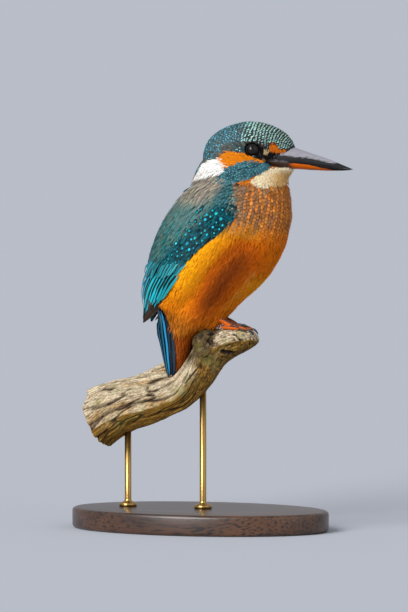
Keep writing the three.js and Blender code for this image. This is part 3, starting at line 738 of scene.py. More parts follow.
# ---- lie of the coat -----------------------------------------------------------------------------
# Feathers grow from the skin pointing away from the bill. On the head they spread from the base of the
# bill, on the breast they hang down, and from there they close in on the vent and the tail. Every tract in
# the sections that follow lies this way.
VENT = np.array([-14.0, 0, 62.0]) * MM  # the feathers under the tail point at this place
TAIL_ROOT = np.array([-26.0, 0, 80.0]) * MM  # the feathers of the belly and flanks point at this place
DOWN = np.array([0.0, 0, -1.0])
WING_LIE = np.array([-0.52, 0, -0.85])
HEAD_REACH = 62 * MM  # over the skin from the bill to the last feathers that spread from it
STRIDE = 2.3 * MM  # the longest step between two points when the way over the skin is measured


def distance_from_bill(points, reach):
    """The way over the skin from the bare base of the bill to each point of the head and neck."""
    place = head_place(points)
    way = np.full(len(points), reach)
    chosen = np.flatnonzero(np.linalg.norm(place - [22, 0, 0], axis=1) < reach / MM)
    tree = KDTree(len(chosen))
    for i in chosen:
        tree.insert(points[i], int(i))
    tree.balance()
    bare = inside(place[chosen][:, [0, 2]], BILL_BASE)
    queue = []
    for i, depth in zip(chosen, bare):
        if depth > -0.9:
            way[i] = max(0, -depth) * MM
            queue.append((way[i], int(i)))
    heapq.heapify(queue)
    while queue:
        gone, i = heapq.heappop(queue)
        if gone > way[i]:
            continue
        for _, j, step in tree.find_range(points[i], STRIDE):
            if gone + step < way[j]:
                way[j] = gone + step
                heapq.heappush(queue, (way[j], j))
    return way


def on_vertices(values):
    """Means of the values on the faces round each vertex."""
    total = np.zeros((len(form_points), values.shape[1]))
    number = np.zeros(len(form_points))
    for corner in range(3):
        np.add.at(total, form_faces[:, corner], values)
        np.add.at(number, form_faces[:, corner], 1)
    return total / number[:, None]


corners = form_points[form_faces]
face_middles = corners.mean(axis=1)
face_cross = np.cross(corners[:, 1] - corners[:, 0], corners[:, 2] - corners[:, 0])
face_areas = np.linalg.norm(face_cross, axis=1) / 2
face_normals = unit(form_normals[form_faces].sum(axis=1))
face_depths = form_depth[form_faces].mean(axis=1)
from_bill = distance_from_bill(form_points, HEAD_REACH)
for _ in range(2):
    from_bill = on_vertices(from_bill[form_faces].mean(axis=1)[:, None])[:, 0]

flat = unit(face_cross)
away = np.zeros_like(flat)
for corner in range(3):
    opposite = corners[:, (corner + 2) % 3] - corners[:, (corner + 1) % 3]
    away += from_bill[form_faces[:, corner], None] * np.cross(flat, opposite)
for _ in range(3):
    away = on_vertices(unit(away))[form_faces].mean(axis=1)
away = unit(away)

face_along, face_round = trunk_place(face_middles)
face_t, face_above, face_below = wing_place(face_along, face_round)
face_head = head_place(face_middles)
face_bill = from_bill[form_faces].mean(axis=1)
on_wing = (face_above > -1) & (face_below > -1) & (face_t > -0.02) & (face_t < 1.02)
height = face_middles[:, 2]
low_down = (smoothstep(0.11, 0.099, height) * smoothstep(4 * MM, -4 * MM, face_middles[:, 0]))[:, None]
closing = unit(TAIL_ROOT + (VENT - TAIL_ROOT) * low_down - face_middles)
body_lie = unit(DOWN + (closing - DOWN) * smoothstep(0.168, 0.128, height)[:, None])
body_lie = np.where(on_wing[:, None], WING_LIE, body_lie)
leaving_head = smoothstep(14, 34, face_bill / MM)
leaving_head = np.maximum(leaving_head * (face_head[:, 2] < -6), smoothstep(40, 56, face_bill / MM))
face_lie = away + (body_lie - away) * leaving_head[:, None]
for _ in range(2):
    face_lie = on_vertices(unit(face_lie))[form_faces].mean(axis=1)
face_lie -= face_normals * (face_lie * face_normals).sum(1)[:, None]
face_lie = unit(face_lie)
draw = np.random.default_rng(20)


TRIES = 4  # places tried for each square of the spacing


def scatter(chosen, spacing):
    """Roots on the chosen faces, no two closer than the spacing: their places and faces."""
    faces = np.flatnonzero(chosen)
    share = face_areas[faces] / face_areas[faces].sum()
    count = int(face_areas[faces].sum() / spacing**2 * TRIES)
    picked = draw.choice(faces, count, p=share)
    a, b = draw.random((2, count))
    fold = a + b > 1
    a, b = np.where(fold, 1 - a, a), np.where(fold, 1 - b, b)
    spots = corners[picked, 0] * (1 - a - b)[:, None] + corners[picked, 1] * a[:, None]
    spots += corners[picked, 2] * b[:, None]
    cells = np.floor(spots / spacing).astype(int)
    taken = {}
    kept = []
    near = [(i, j, k) for i in (-1, 0, 1) for j in (-1, 0, 1) for k in (-1, 0, 1)]
    for index, (spot, cell) in enumerate(zip(spots, cells)):
        x, y, z = cell
        others = (other for i, j, k in near for other in taken.get((x + i, y + j, z + k), ()))
        if all(((spots[other] - spot) ** 2).sum() > spacing**2 for other in others):
            taken.setdefault((x, y, z), []).append(index)
            kept.append(index)
    return spots[kept], picked[kept]


def on_coat(spots):
    """The nearest places on the coat's surface, and the faces that they lie on."""
    near = [form_tree.find_nearest(Vector(spot)) for spot in spots]
    return np.array([found[0] for found in near]), np.array([found[2] for found in near])


BILL_MIDDLE = (26, 0, 1)  # the rows of the crown go round this place, in the head's frame


def row_gap(way):
    """How far apart the rows of crown feathers lie: closest at the bill, widest over the eye."""
    return (0.95 + 0.5 * smoothstep(6, 18, way / MM) - 0.25 * smoothstep(24, 34, way / MM)) * MM


def rows_from_bill(across, reach):
    """Roots in rows that run round the head, from the bill backwards: places and faces."""
    spots, faces = [], []
    values = np.linalg.norm(head_place(form_points) - BILL_MIDDLE, axis=1)[form_faces] * MM
    levels = [2 * MM]
    while levels[-1] < reach:
        levels.append(levels[-1] + float(row_gap(levels[-1])))
    for row, level in enumerate(levels):
        crossed = np.flatnonzero((values.min(1) < level) & (values.max(1) > level))
        ends = []
        for a, b in ((0, 1), (1, 2), (2, 0)):
            share = (level - values[crossed, a]) / (values[crossed, b] - values[crossed, a] + 1e-12)
            point = corners[crossed, a] + share[:, None] * (corners[crossed, b] - corners[crossed, a])
            ends.append(np.where(((share >= 0) & (share <= 1))[:, None], point, np.nan))
        middle = np.nanmean(np.stack(ends), axis=0)
        place = head_place(middle)
        order = np.argsort(np.arctan2(place[:, 1], place[:, 2] + 1))
        middle, crossed = middle[order], crossed[order]
        step = np.linalg.norm(np.diff(middle, axis=0, append=middle[:1]), axis=1)
        arc = np.concatenate([[0], np.cumsum(np.minimum(step, 3 * MM))])[:-1]
        wanted = np.arange((row % 2) * across / 2, arc[-1], across)
        found = np.searchsorted(arc, wanted).clip(0, len(middle) - 1)
        spots.append(middle[found])
        faces.append(crossed[found])
    return np.vstack(spots), np.concatenate(faces)


ROOT_DEPTH = 0.15 * MM  # how far under the skin a feather's root lies


def lay(roots, faces, lengths, stations, lift, lean):
    """The middle lines of feathers that leave the skin at their roots and end at the lift over the coat."""
    count, rows = len(roots), len(stations)
    line = np.empty((count, rows, 3))
    normal = np.empty((count, rows, 3))
    for i in range(count):
        face = int(faces[i])
        spot = Vector(roots[i])
        for r in range(rows):
            up = face_normals[face]
            ahead = face_lie[face] * math.cos(lean[i]) + np.cross(up, face_lie[face]) * math.sin(lean[i])
            if r:
                step = Vector(ahead) * lengths[i] * (stations[r] - stations[r - 1])
                spot, _, face, _ = form_tree.find_nearest(spot + step)
                up = face_normals[face]
            line[i, r] = spot
            normal[i, r] = up
    sink = face_depths[faces] + ROOT_DEPTH
    climb = (sink + np.asarray(lift))[:, None]
    rise = np.asarray(stations)[None] ** 0.75 * climb - sink[:, None]
    return line + normal * rise[..., None], normal


SHOWN = 0.72  # where the middle of a feather's bare part lies, as a share of its length


def shown_at(roots, faces, length):
    """The places that the bare parts of the feathers cover, a good way from their roots."""
    return roots + face_lie[faces] * (np.broadcast_to(length, len(roots)) * SHOWN)[:, None]


# A kind of feather: places along it, half its width there, and its section as [across, up].
VANE_SECTION = [(-1, 0), (0, 1), (1, 0), (0, -0.6)]  # a vane's edges, its ridge and its underside
VANE = ([0, 0.3, 0.62, 0.87, 1], [0.5, 0.92, 1, 0.7, 0], VANE_SECTION)
BARB = ([0, 0.4, 0.75, 1], [0.8, 1, 0.7, 0], [(-1, -0.3), (0, 1), (1, -0.3)])  # a loose, hairlike barb
PATCH = 0.003  # how long each feather lies on the unwrap of the skin
PATTERNS = 97  # how many feathers have barbs of their own before they repeat


def feather_mesh(name, line, normal, kind, half_width, thick, ground, mark, form, unwrap):
    """One joined object of closed feathers. The form of the mark is its place and size on each."""
    stations, outline, section = kind
    count, rows, _ = line.shape
    round_count = len(section)
    side = unit(np.cross(np.gradient(line, axis=1), normal))
    across, rise = np.array(section).T
    wide = np.asarray(half_width).reshape(-1, 1, 1, 1) * np.asarray(outline)[None, :, None, None]
    tall = thick * (0.35 + 0.65 * np.asarray(outline))[None, :, None, None]
    body = line[:, :, None] + side[:, :, None] * wide * across[None, None, :, None]
    body = body + normal[:, :, None] * tall * rise[None, None, :, None]
    body = body[:, :-1].reshape(count, -1, 3)
    points = np.concatenate([body, line[:, -1:]], axis=1)
    each = points.shape[1]
    faces = []
    for r in range(rows - 2):
        for k in range(round_count):
            a, b = r * round_count + k, r * round_count + (k + 1) % round_count
            faces += [(a, a + round_count, b), (b, a + round_count, b + round_count)]
    last = (rows - 2) * round_count
    faces += [(last + k, each - 1, last + (k + 1) % round_count) for k in range(round_count)]
    faces += [(0, k, k + 1) for k in range(1, round_count - 1)]
    faces = (np.array(faces)[None] + (np.arange(count) * each)[:, None, None]).reshape(-1, 3)
    mesh = bpy.data.meshes.new(name)
    mesh.vertices.add(count * each)
    mesh.vertices.foreach_set("co", points.astype(np.float32).ravel())
    mesh.loops.add(len(faces) * 3)
    mesh.loops.foreach_set("vertex_index", faces.astype(np.int32).ravel())
    mesh.polygons.add(len(faces))
    mesh.polygons.foreach_set("loop_start", np.arange(len(faces), dtype=np.int32) * 3)
    mesh.update(calc_edges=True)
    mesh.shade_smooth()
    mesh.set_sharp_from_angle(angle=math.radians(70))
    vane = np.zeros((each, 3))
    vane[:-1, 0] = np.tile(across, rows - 1)
    vane[:-1, 1] = np.repeat(stations[:-1], round_count)
    vane[-1, 1] = 1
    vane = np.tile(vane, (count, 1))
    vane[:, 2] = np.repeat(np.arange(count) % PATTERNS, each)
    set_attribute(mesh, "Vane", "FLOAT_VECTOR", vane)
    for label, values in (("Ground", ground), ("Mark", mark)):
        set_attribute(mesh, label, "FLOAT_COLOR", np.repeat(values, each, axis=0))
    for label, values in zip(("Mark place", "Mark size"), form):
        set_attribute(mesh, label, "FLOAT_VECTOR", np.repeat(values, each, axis=0))
    spot = np.repeat(unwrap, each, axis=0) + (vane[:, :2] * [0.5, 1] - [0, 0.5]) * PATCH
    layer = mesh.uv_layers.new(name="OFBake")
    layer.data.foreach_set("uv", spot[faces.ravel()].astype(np.float32).ravel())
    return in_scene(name, mesh)


def unwrapped(points, head=False):
    """A flat place for each root on an unwrap of the skin: round and along the head, or the trunk."""
    if head:
        place = head_place(points)
        u = 0.5 + np.arctan2(place[:, 1], place[:, 2] + 1) / (2 * math.pi)
        v = (place[:, 0] + 22) / 52
    else:
        along, round_trunk = trunk_place(points)
        u = 0.5 + np.sign(points[:, 1]) * round_trunk / 360
        v = (along + 0.15) / 1.4
    return np.stack([u, v], axis=1).clip(0, 1) * 0.96 + 0.02


def plumage(name, streak, shine, index=1.3, relief=0.12):
    """Feather keratin: soft barbs that run along the feather, a mark near its tip, and a dull silky shine."""
    material, tree = new_material(name)
    vane, ground, mark, middle, size = (
        add_node(tree, "Attribute", {"attribute_name": label}, {}).outputs[output]
        for label, output in (("Vane", "Vector"), ("Ground", "Color"), ("Mark", "Color"),
                              ("Mark place", "Vector"), ("Mark size", "Vector"))
    )
    flat_vane = add_node(tree, "VectorMath", {"operation": "MULTIPLY"}, {0: vane, 1: (1.0, 1.0, 0.0)})
    away = add_node(tree, "VectorMath", {"operation": "SUBTRACT"}, {0: flat_vane, 1: middle})
    scaled = add_node(tree, "VectorMath", {"operation": "MULTIPLY"}, {0: away, 1: size})
    distance = add_node(tree, "VectorMath", {"operation": "LENGTH"}, {0: scaled}).outputs["Value"]
    cover = add_node(tree, "MapRange", SOFT,
                     {"Value": distance, "From Min": 0.75, "From Max": 1.15, "To Min": 1.0, "To Max": 0.0})
    marked = add_node(tree, "Mix", MIX, {0: cover, 6: ground, 7: mark}).outputs[2]
    barb_place = add_node(tree, "VectorMath", {"operation": "MULTIPLY"}, {0: vane, 1: (streak, 0.8, 3.7)})
    barbs = add_node(tree, "TexNoise", {}, {"Vector": barb_place, "Scale": 1.0, "Detail": 2.0})
    shade = add_node(tree, "MapRange", {},
                     {"Value": barbs, "From Min": 0.3, "From Max": 0.7, "To Min": 0.72, "To Max": 1.18})
    colour = add_node(tree, "Mix", TIMES, {0: 1.0, 6: marked, 7: shade}).outputs[2]
    bump = add_node(tree, "Bump", {}, {"Height": barbs, "Strength": 0.5, "Distance": relief * MM})
    shader = add_node(tree, "BsdfPrincipled", {},
                      {"Base Color": colour, "Roughness": shine, "IOR": index, "Normal": bump})
    return finished(material, shader)


def varied(colours, light=0.12, tint=0.04):
    """The colours with a small change of brightness and tint from feather to feather."""
    count = len(colours)
    bright = 1 + draw.normal(0, light, (count, 1))
    return np.clip(colours * bright * (1 + draw.normal(0, tint, (count, 3))), 0.002, 1)


def coloured(code, count):
    """The colour of an sRGB hex value in every row."""
    return np.tile(np.array(linear(code))[:3], (count, 1))


def no_mark(count):
    """The place and size of a mark that covers nothing."""
    return np.zeros((count, 3)), np.full((count, 3), 500.0)


def mark_at(count, across, along, half_across, half_along):
    """The place and size of a mark on each vane: across from -1 to 1, and along from the root, 0 to 1."""
    place = np.tile([across, along, 0.0], (count, 1))
    size = np.tile([1 / half_across, 1 / half_along, 0.0], (count, 1))
    return place, size


def grow_vanes(name, material, slot, roots, faces, length, half_width, lift, ground, mark, form, thick,
               head=False, lean=0.1):
    """One tract of vaned feathers."""
    count = len(roots)
    lengths = np.broadcast_to(length, count) * draw.uniform(0.88, 1.12, count)
    line, normal = lay(roots, faces, lengths, VANE[0], lift * draw.uniform(0.4, 1.3, count),
                       draw.normal(0, lean, count))
    widths = half_width * draw.uniform(0.9, 1.1, count)
    tract = feather_mesh(name, line, normal, VANE, widths, thick * MM, ground, mark, form,
                         unwrapped(roots, head))
    place_piece(tract, material, slot)


BARB_THICKNESS = 0.3  # as a share of half its width


def grow_barbs(name, material, slot, roots, faces, length, half_width, lift, ground, strands, spread,
               head=False, uneven=0.18):
    """One tract of soft feathers, each a fan of loose barbs from one root."""
    length = np.repeat(np.broadcast_to(length, len(roots)), strands)
    lift = np.repeat(np.broadcast_to(lift, len(roots)), strands)
    roots = np.repeat(roots, strands, axis=0)
    faces = np.repeat(faces, strands)
    count = len(roots)
    ground = np.repeat(ground, strands, axis=0) * draw.uniform(1 - uneven, 1 + uneven, (count, 1))
    across = unit(np.cross(face_normals[faces], face_lie[faces]))
    roots = roots + across * draw.uniform(-1, 1, (count, 1)) * spread
    lengths = length * draw.uniform(0.7, 1.2, count)
    line, normal = lay(roots, faces, lengths, BARB[0], lift * draw.uniform(0.1, 1.5, count),
                       draw.normal(0, 0.12, count))
    widths = half_width * draw.uniform(0.7, 1.3, count)
    tract = feather_mesh(name, line, normal, BARB, widths, half_width * BARB_THICKNESS, ground, ground,
                         no_mark(count), unwrapped(roots, head))
    place_piece(tract, material, slot)


# ---- belly, flanks and vent ----------------------------------------------------------------------
# Soft orange contour feathers whose loose tips run together like fur. They are longest on the flanks, where
# they come up over the lower edge of the wing, and at the vent. They point down and back towards the tail.
SIDES = ((-1, "right"), (1, "left"))
BACK_END = 0.118  # the azure feathers of the back grow above this height
VENT_HEIGHT = 0.1  # the feathers under the tail grow below this height
BELLY_END = 0.0985  # the belly's own feathers grow above this height
BREAST_END = 0.141  # in the middle of the body, and higher up at its sides
soft_plumage = plumage("body_feather", 3.0, 0.7, 1.2)
body_zone = ~(face_head[:, 2] > HEAD_UNDER) & ~on_wing
back_zone = body_zone & (face_below < 0) & (face_round > 110) & (height > BACK_END)
front_zone = body_zone & ~back_zone & ((height > VENT_HEIGHT) | (face_middles[:, 0] > TAIL_FROM))
face_over = above_flank(face_along, face_round)
flank = on_wing & (face_over < FLANK_OVER) & (face_along > 0.16) & (face_along < 0.9)
breast_height = BREAST_END + 0.35 * np.maximum(np.abs(face_middles[:, 1]) - 0.006, 0)
belly_zone = (front_zone | flank) & (height < breast_height + 0.004) & (height > BELLY_END)
# Flank feathers root no higher than this over the flank's edge: [along the trunk, degrees].
ROOT_EDGE = np.array([[0.3, 1.5], [0.45, 0.2], [0.62, -1.5]])
BELLY_BARB = 0.19 * MM  # half the width of a barb
BELLY_SPREAD = 0.75 * MM  # how far the barbs of one feather spread at its root
for side, name in SIDES:
    roots, faces = scatter(belly_zone & (np.sign(face_middles[:, 1]) == side), 1.02 * MM)
    seen = shown_at(roots, faces, 5.5 * MM)
    root_along, root_round = trunk_place(roots)
    keep = above_flank(*trunk_place(seen)) < 1.5
    keep &= above_flank(root_along, root_round) < read_off(ROOT_EDGE, root_along)
    # Barbs that show above the flank's edge, on the side of the rump under the wing, are painted dark teal:
    # painted shade.
    shaded_rump = ~keep & ~on_wing[faces]
    ground = varied(mixed("#0c2527", "#1d4c58", draw.random(shaded_rump.sum()) ** 2), 0.1)
    grow_barbs("feathers_shaded_rump_" + name, soft_plumage, "plumage_body", roots[shaded_rump], faces[shaded_rump], 5 * MM,
               BELLY_BARB, 0.1 * MM, ground, 5, BELLY_SPREAD)
    roots, faces, seen = roots[keep], faces[keep], seen[keep]
    seen_along, seen_round = trunk_place(seen)
    ground = mixed(markings_and_shade(roots), belly_colour_and_shade(seen), smoothstep(0.150, 0.138, seen[:, 2]))
    ground = varied(ground, 0.05, 0.02)
    loose = smoothstep(0.112, 0.101, roots[:, 2]) * (above_flank(seen_along, seen_round) < -4)
    ground = mixed(ground, "#e0a040", 0.25 * loose * draw.random(len(roots)))
    # A few feathers in front of the patches of painted shade have pale, loose tips.
    pale = np.exp(-(((seen_round - 24) / 5) ** 2)) * smoothstep(0.46, 0.54, seen_along)
    pale *= smoothstep(0.78, 0.7, seen_along) * (draw.random(len(roots)) > 0.7)
    ground = mixed(ground, "#f2bc62", 0.6 * pale)
    # The feathers in front of the ankle hang loose over the foot, and the ones behind it are short.
    from_ankle = np.linalg.norm(roots - np.array([12, side * 4.5, 101.5]) * MM, axis=1)
    from_heel = np.linalg.norm(roots - np.array([4, side * 4.5, 99.5]) * MM, axis=1)
    hanging, short = smoothstep(6 * MM, 3 * MM, from_ankle), smoothstep(8 * MM, 4.5 * MM, from_heel)
    lengths = (5.4 + 1.6 * loose - 2.6 * short) * MM
    lifts = (0.12 + 0.7 * loose + 1.8 * hanging) * MM
    grow_barbs("feathers_belly_" + name, soft_plumage, "plumage_body", roots, faces, lengths, BELLY_BARB,
               lifts, ground, 5, BELLY_SPREAD)
roots, faces = scatter(front_zone & (height <= VENT_HEIGHT), 1.2 * MM)
ground = varied(markings_and_shade(shown_at(roots, faces, 5 * MM)), 0.08)
grow_barbs("feathers_undertail", soft_plumage, "plumage_body", roots, faces, 7 * MM, 0.26 * MM, 0.08 * MM,
           ground, 4, 0.8 * MM)

# ---- breast --------------------------------------------------------------------------------------
# Small orange feathers with grey-brown fringes lie in upright columns, and loose grey-brown barbs lie
# between them. Towards the shoulders and the legs they run into the feathers there.
breast_zone = front_zone & (height >= breast_height - 0.002)
breast_plumage = plumage("breast_feather", 4.0, 0.65, 1.2)
COLUMN = 2.5 * MM  # from one column of feathers to the next, round the breast


def on_body(along, round_trunk, side, tree=form_tree):
    """The place on the coat's surface, or on another, at a place round the trunk, with the way out of it."""
    spots, outs = [], []
    for t, degrees in zip(along, round_trunk):
        middle, out = trunk_ray(t, degrees, side)
        spot, normal, _, _ = tree.ray_cast(Vector(middle + out * OUTSIDE), Vector(-out))
        if spot is None:
            spot, normal, _, _ = tree.find_nearest(Vector(middle + out * 0.014))
        spots.append(spot)
        outs.append(normal)
    return np.array(spots), np.array(outs)


def breast_colours(points):
    """Orange columns on grey-brown, wavering as they go down."""
    along, round_trunk = trunk_place(points)
    round_way = np.radians(round_trunk) * 19 * MM / COLUMN + 0.4 * noise_at(points, 5 * MM)
    column = 0.5 + 0.35 * np.cos(2 * math.pi * round_way) + 0.6 * noise_at(points, 1.0 * MM, (1, 1, 0.4))
    low = mixed("#8a5528", "#8c7058", np.clip(0.5 + noise_at(points, 3 * MM), 0, 1))
    low = mixed(low, "#ae6c30", 0.8 * smoothstep(34, 14, round_trunk))
    orange = mixed("#c97428", "#dd8b3a", np.clip(0.5 + noise_at(points, 2 * MM), 0, 1))
    streaked = mixed(low, orange, smoothstep(0.1, 0.9, column))
    edge = smoothstep(52, 68, round_trunk) * smoothstep(0.3, 0.2, along)
    edge = edge * np.clip(0.8 + 0.5 * noise_at(points, 2 * MM), 0, 1)
    streaked = mixed(streaked, "#6f6a5a", 0.75 * edge)
    return mixed(streaked, belly_colour_and_shade(points), 0.8 * smoothstep(0.152, 0.139, points[:, 2]))


def below_throat(roots, faces):
    """The roots of the feathers that show below the throat, and their faces."""
    kept = inside(head_place(shown_at(roots, faces, 2 * MM))[:, [0, 2]], THROAT) < 0.3
    return roots[kept], faces[kept]


# The vaned feathers stand in staggered rows: [along the trunk, degrees round it].
lattice = [(t + 0.008 * (k % 2), turn) for t in np.arange(-0.02, 0.44, 0.0165)
           for k, turn in enumerate(np.arange(1.5, 84, 3.4))]
lattice = np.array(lattice) + draw.normal(0, 1, (len(lattice), 2)) * [0.0012, 0.35]
roots, faces = on_coat(np.vstack([on_body(lattice[:, 0], lattice[:, 1], side)[0] for side, _ in SIDES]))
kept = breast_zone[faces]
roots, faces = below_throat(roots[kept], faces[kept])
ground = varied(breast_colours(roots), 0.08)
grow_vanes("feathers_breast", breast_plumage, "plumage_body", roots, faces, 3.4 * MM, 0.78 * MM, 0.04 * MM,
           ground, ground * 0.5 + 0.03, mark_at(len(roots), 0, 1.0, 3.0, 0.14), lean=0.07, thick=0.05)
roots, faces = below_throat(*scatter(breast_zone, 1.15 * MM))
ground = varied(breast_colours(roots), 0.08)
grow_barbs("breast_barbs", soft_plumage, "plumage_body", roots, faces, 3.4 * MM, 0.08 * MM, 0.1 * MM, ground,
           5, 0.6 * MM)

# ---- mantle, back and rump -----------------------------------------------------------------------
# Between the wings a strip of bright azure feathers runs from the nape to the root of the tail. Over the
# shoulders the feathers have come up loose and show their grey-brown bases.
azure_plumage = plumage("back_feather", 3.5, 0.42)
roots, faces = scatter(back_zone, 1.5 * MM)
seen = shown_at(roots, faces, 5.5 * MM)
keep = seen[:, 2] > BACK_END - 0.002
roots, faces = roots[keep], faces[keep]
count = len(roots)
ground = varied(coloured("#0f86bb", count), 0.15, 0.06)
tip = varied(coloured("#35c6f0", count), 0.15, 0.06)
grow_vanes("feathers_back", azure_plumage, "plumage_body", roots, faces, 5.5 * MM, 1.05 * MM, 0.2 * MM,
           ground, tip, mark_at(count, 0, 0.85, 0.9, 0.28), thick=0.1)

# ---- folded wings --------------------------------------------------------------------------------
# Small dark teal coverts lie over the shoulder of each wing like slates, and most have a bright blue-green
# spot at the tip. The scapulars above them are longer and looser, green with a grey-brown wash.
wing_plumage = plumage("wing_feather", 3.5, 0.5, 1.16)
# The blades of the flight feathers come out from under the coverts here: [degrees round, along the trunk].
COVERTS_END = np.array(
    [[100, 0.62], [111, 0.618], [121, 0.622], [132, 0.632], [143, 0.645], [152, 0.66], [168, 0.67]]
)


def lie_place(points):
    """Places turned so that the third axis runs along the lie of the wing's feathers."""
    across = np.array([-WING_LIE[2], 0, WING_LIE[0]])
    return np.stack([points @ across, points[:, 1], points @ WING_LIE], axis=1)


# Rows of spotted coverts: [degrees round the trunk where a row begins, how far along the trunk it ends].
SPOT_ROWS = ((74, 0.66), (83.5, 0.59), (93, 0.5), (101, 0.4), (109, 0.33))
ROW_SLOPE = 140  # degrees round the trunk for each length of the trunk
for side, name in SIDES:
    zone = on_wing & (np.sign(face_middles[:, 1]) == side)
    roots, faces = scatter(zone & (face_along < 0.72), 1.0 * MM)
    along, round_trunk = trunk_place(roots)
    high = smoothstep(16, 48, above_flank(along, round_trunk))
    lengths = (3.4 + 5.0 * high) * MM
    seen_along, seen_round = trunk_place(shown_at(roots, faces, lengths * 1.3))
    keep = (above_flank(seen_along, seen_round) > 0) & (seen_along < read_off(COVERTS_END, seen_round))
    roots, faces, lengths, high = roots[keep], faces[keep], lengths[keep], high[keep]
    along, round_trunk = along[keep], round_trunk[keep]
    count = len(roots)
    high = smoothstep(0.1, 0.75, high + 0.2 * noise_at(lie_place(roots), 2 * MM, (1, 1, 0.3)))[:, None]
    teal = varied(mixed("#032b33", "#075059", draw.random(count)), 0.2, 0.06)
    pale = smoothstep(0.24, 0.14, along + 0.03 * noise_at(roots, 3 * MM))
    teal = mixed(teal, varied(coloured("#3f6668", count), 0.15), 0.8 * pale)
    fringe = smoothstep(82, 72, round_trunk) * smoothstep(0.24, 0.17, along) * draw.random(count)
    teal = mixed(teal, varied(coloured("#8a8878", count), 0.15), fringe)
    wash = np.clip(0.5 + 0.9 * noise_at(lie_place(roots), 0.9 * MM, (1, 1, 0.14)), 0, 1)
    washed = varied(mixed("#0c5a5e", "#4a5c52", wash), 0.2, 0.05)
    washed = mixed(washed, varied(coloured("#5b7773", count), 0.15), 0.35 * smoothstep(0.46, 0.28, along))
    ground = teal * (1 - high) + washed * high
    brown = smoothstep(0.25, 0.15, along - 0.0012 * (round_trunk - 112)) * smoothstep(92, 106, round_trunk)
    ground = ground * (1 - brown[:, None])
    ground += varied(mixed("#8f8370", "#6a675f", draw.random(count))) * brown[:, None]
    grow_vanes("scapulars_" + name, wing_plumage, "plumage_wing", roots, faces, lengths, 0.68 * MM, 0.12 * MM,
               ground, np.minimum(ground * 1.5, 1), mark_at(count, 0.5, 0.9, 0.35, 0.5), lean=0.06,
               thick=0.06)
    rows = []
    for row, (start, end) in enumerate(SPOT_ROWS):
        row_t = np.arange(0.2 + 0.02 * row, end, 0.027)
        rows.append(np.stack([row_t + 0.008 * (row % 2), start + ROW_SLOPE * (row_t - 0.3)], axis=1))
    rows = np.vstack(rows)
    rows += draw.normal(0, 1, rows.shape) * [0.003, 1.2]
    rows = rows[above_flank(rows[:, 0], rows[:, 1]) > 3]
    roots, faces = on_coat(on_body(rows[:, 0] - 0.045, rows[:, 1] - 1.5, side)[0])
    count = len(roots)
    ground = varied(mixed("#06343a", "#173b3a", draw.random(count)), 0.2, 0.06)
    spot = varied(mixed("#0f8f9c", "#1fbfd6", draw.random(count)), 0.2, 0.06)
    place, size = mark_at(count, 0, 0.82, 0.5, 0.14)
    size[:, :2] *= draw.uniform(0.8, 1.9, (count, 1)) * draw.uniform(0.85, 1.2, (count, 2))
    grow_vanes("spotted_coverts_" + name, wing_plumage, "plumage_wing", roots, faces, 5.0 * MM, 1.4 * MM,
               0.3 * MM, ground, spot, (place, size), lean=0.05, thick=0.08)

# ---- flight feathers -----------------------------------------------------------------------------
# Long stiff blades. The secondaries lie like a closed fan, and each shows a strip of its outer web, bright
# blue-green with a black shaft. The dark brown primaries come out below them and make the wing's point.
FLIGHT_STATIONS = np.linspace(0, 1, 12)
BLADE = (FLIGHT_STATIONS, [0.55, 0.85, 0.95, 1, 1, 1, 1, 0.97, 0.92, 0.8, 0.55, 0], VANE_SECTION)
BLADE_THICKNESS = 0.16 * MM
# The secondaries from the lowest up. Each starts and ends at a place along the trunk and degrees round it.
SECONDARIES = np.array(
    [[0.63, 105.5, 0.8, 124], [0.63, 110.5, 0.828, 131], [0.64, 116, 0.85, 138],
     [0.65, 121, 0.868, 144], [0.655, 125.5, 0.884, 149.5], [0.665, 131, 0.9, 155], [0.68, 138, 0.9, 160],
     [0.68, 147, 0.875, 163], [0.67, 155, 0.85, 166]]
)
SECONDARY_WEBS = ("#0c8690", "#0d909a", "#0f98a6", "#10a4b4", "#10a8b8", "#12b2c6", "#0f98a6", "#0d8598",
                  "#0d8598")
# The greater coverts lie over the roots of the secondaries, in rows of the same kind.
GREATER_COVERTS = np.array(
    [[0.555, 101, 0.645, 107], [0.56, 104.5, 0.655, 111], [0.565, 108, 0.666, 114.5],
     [0.57, 112, 0.675, 118.5], [0.58, 116, 0.685, 123], [0.59, 120, 0.693, 127],
     [0.6, 124, 0.702, 131], [0.605, 128.5, 0.71, 135], [0.615, 133, 0.719, 139.5],
     [0.625, 138, 0.728, 144], [0.635, 143, 0.735, 149], [0.645, 149, 0.735, 155], [0.65, 156, 0.725, 161]]
)
PRIMARIES = np.array(
    [[0.7, 118, 0.905, 139], [0.7, 122, 0.925, 144], [0.7, 127, 0.945, 148], [0.7, 132, 0.96, 152],
     [0.7, 137, 0.974, 156]]
)


def tree_of(*nodes):
    """The surface of some of the frame's solids, for finding places on it."""
    points, faces = [], []
    for node in nodes:
        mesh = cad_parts[node].data
        faces += [[len(points) + i for i in polygon.vertices] for polygon in mesh.polygons]
        points += [vertex.co.copy() for vertex in mesh.vertices]
    return BVHTree.FromPolygons(points, faces)


def eased(line):
    """The middle lines of blades, with each place between the ends drawn towards its two neighbours."""
    line[:, 1:-1] = (line[:, :-2] + line[:, 1:-1] * 2 + line[:, 2:]) / 4
    return line


def webs(codes):
    """The colours of some blades, a little varied."""
    return varied(np.array([linear(code)[:3] for code in codes]), 0.08)


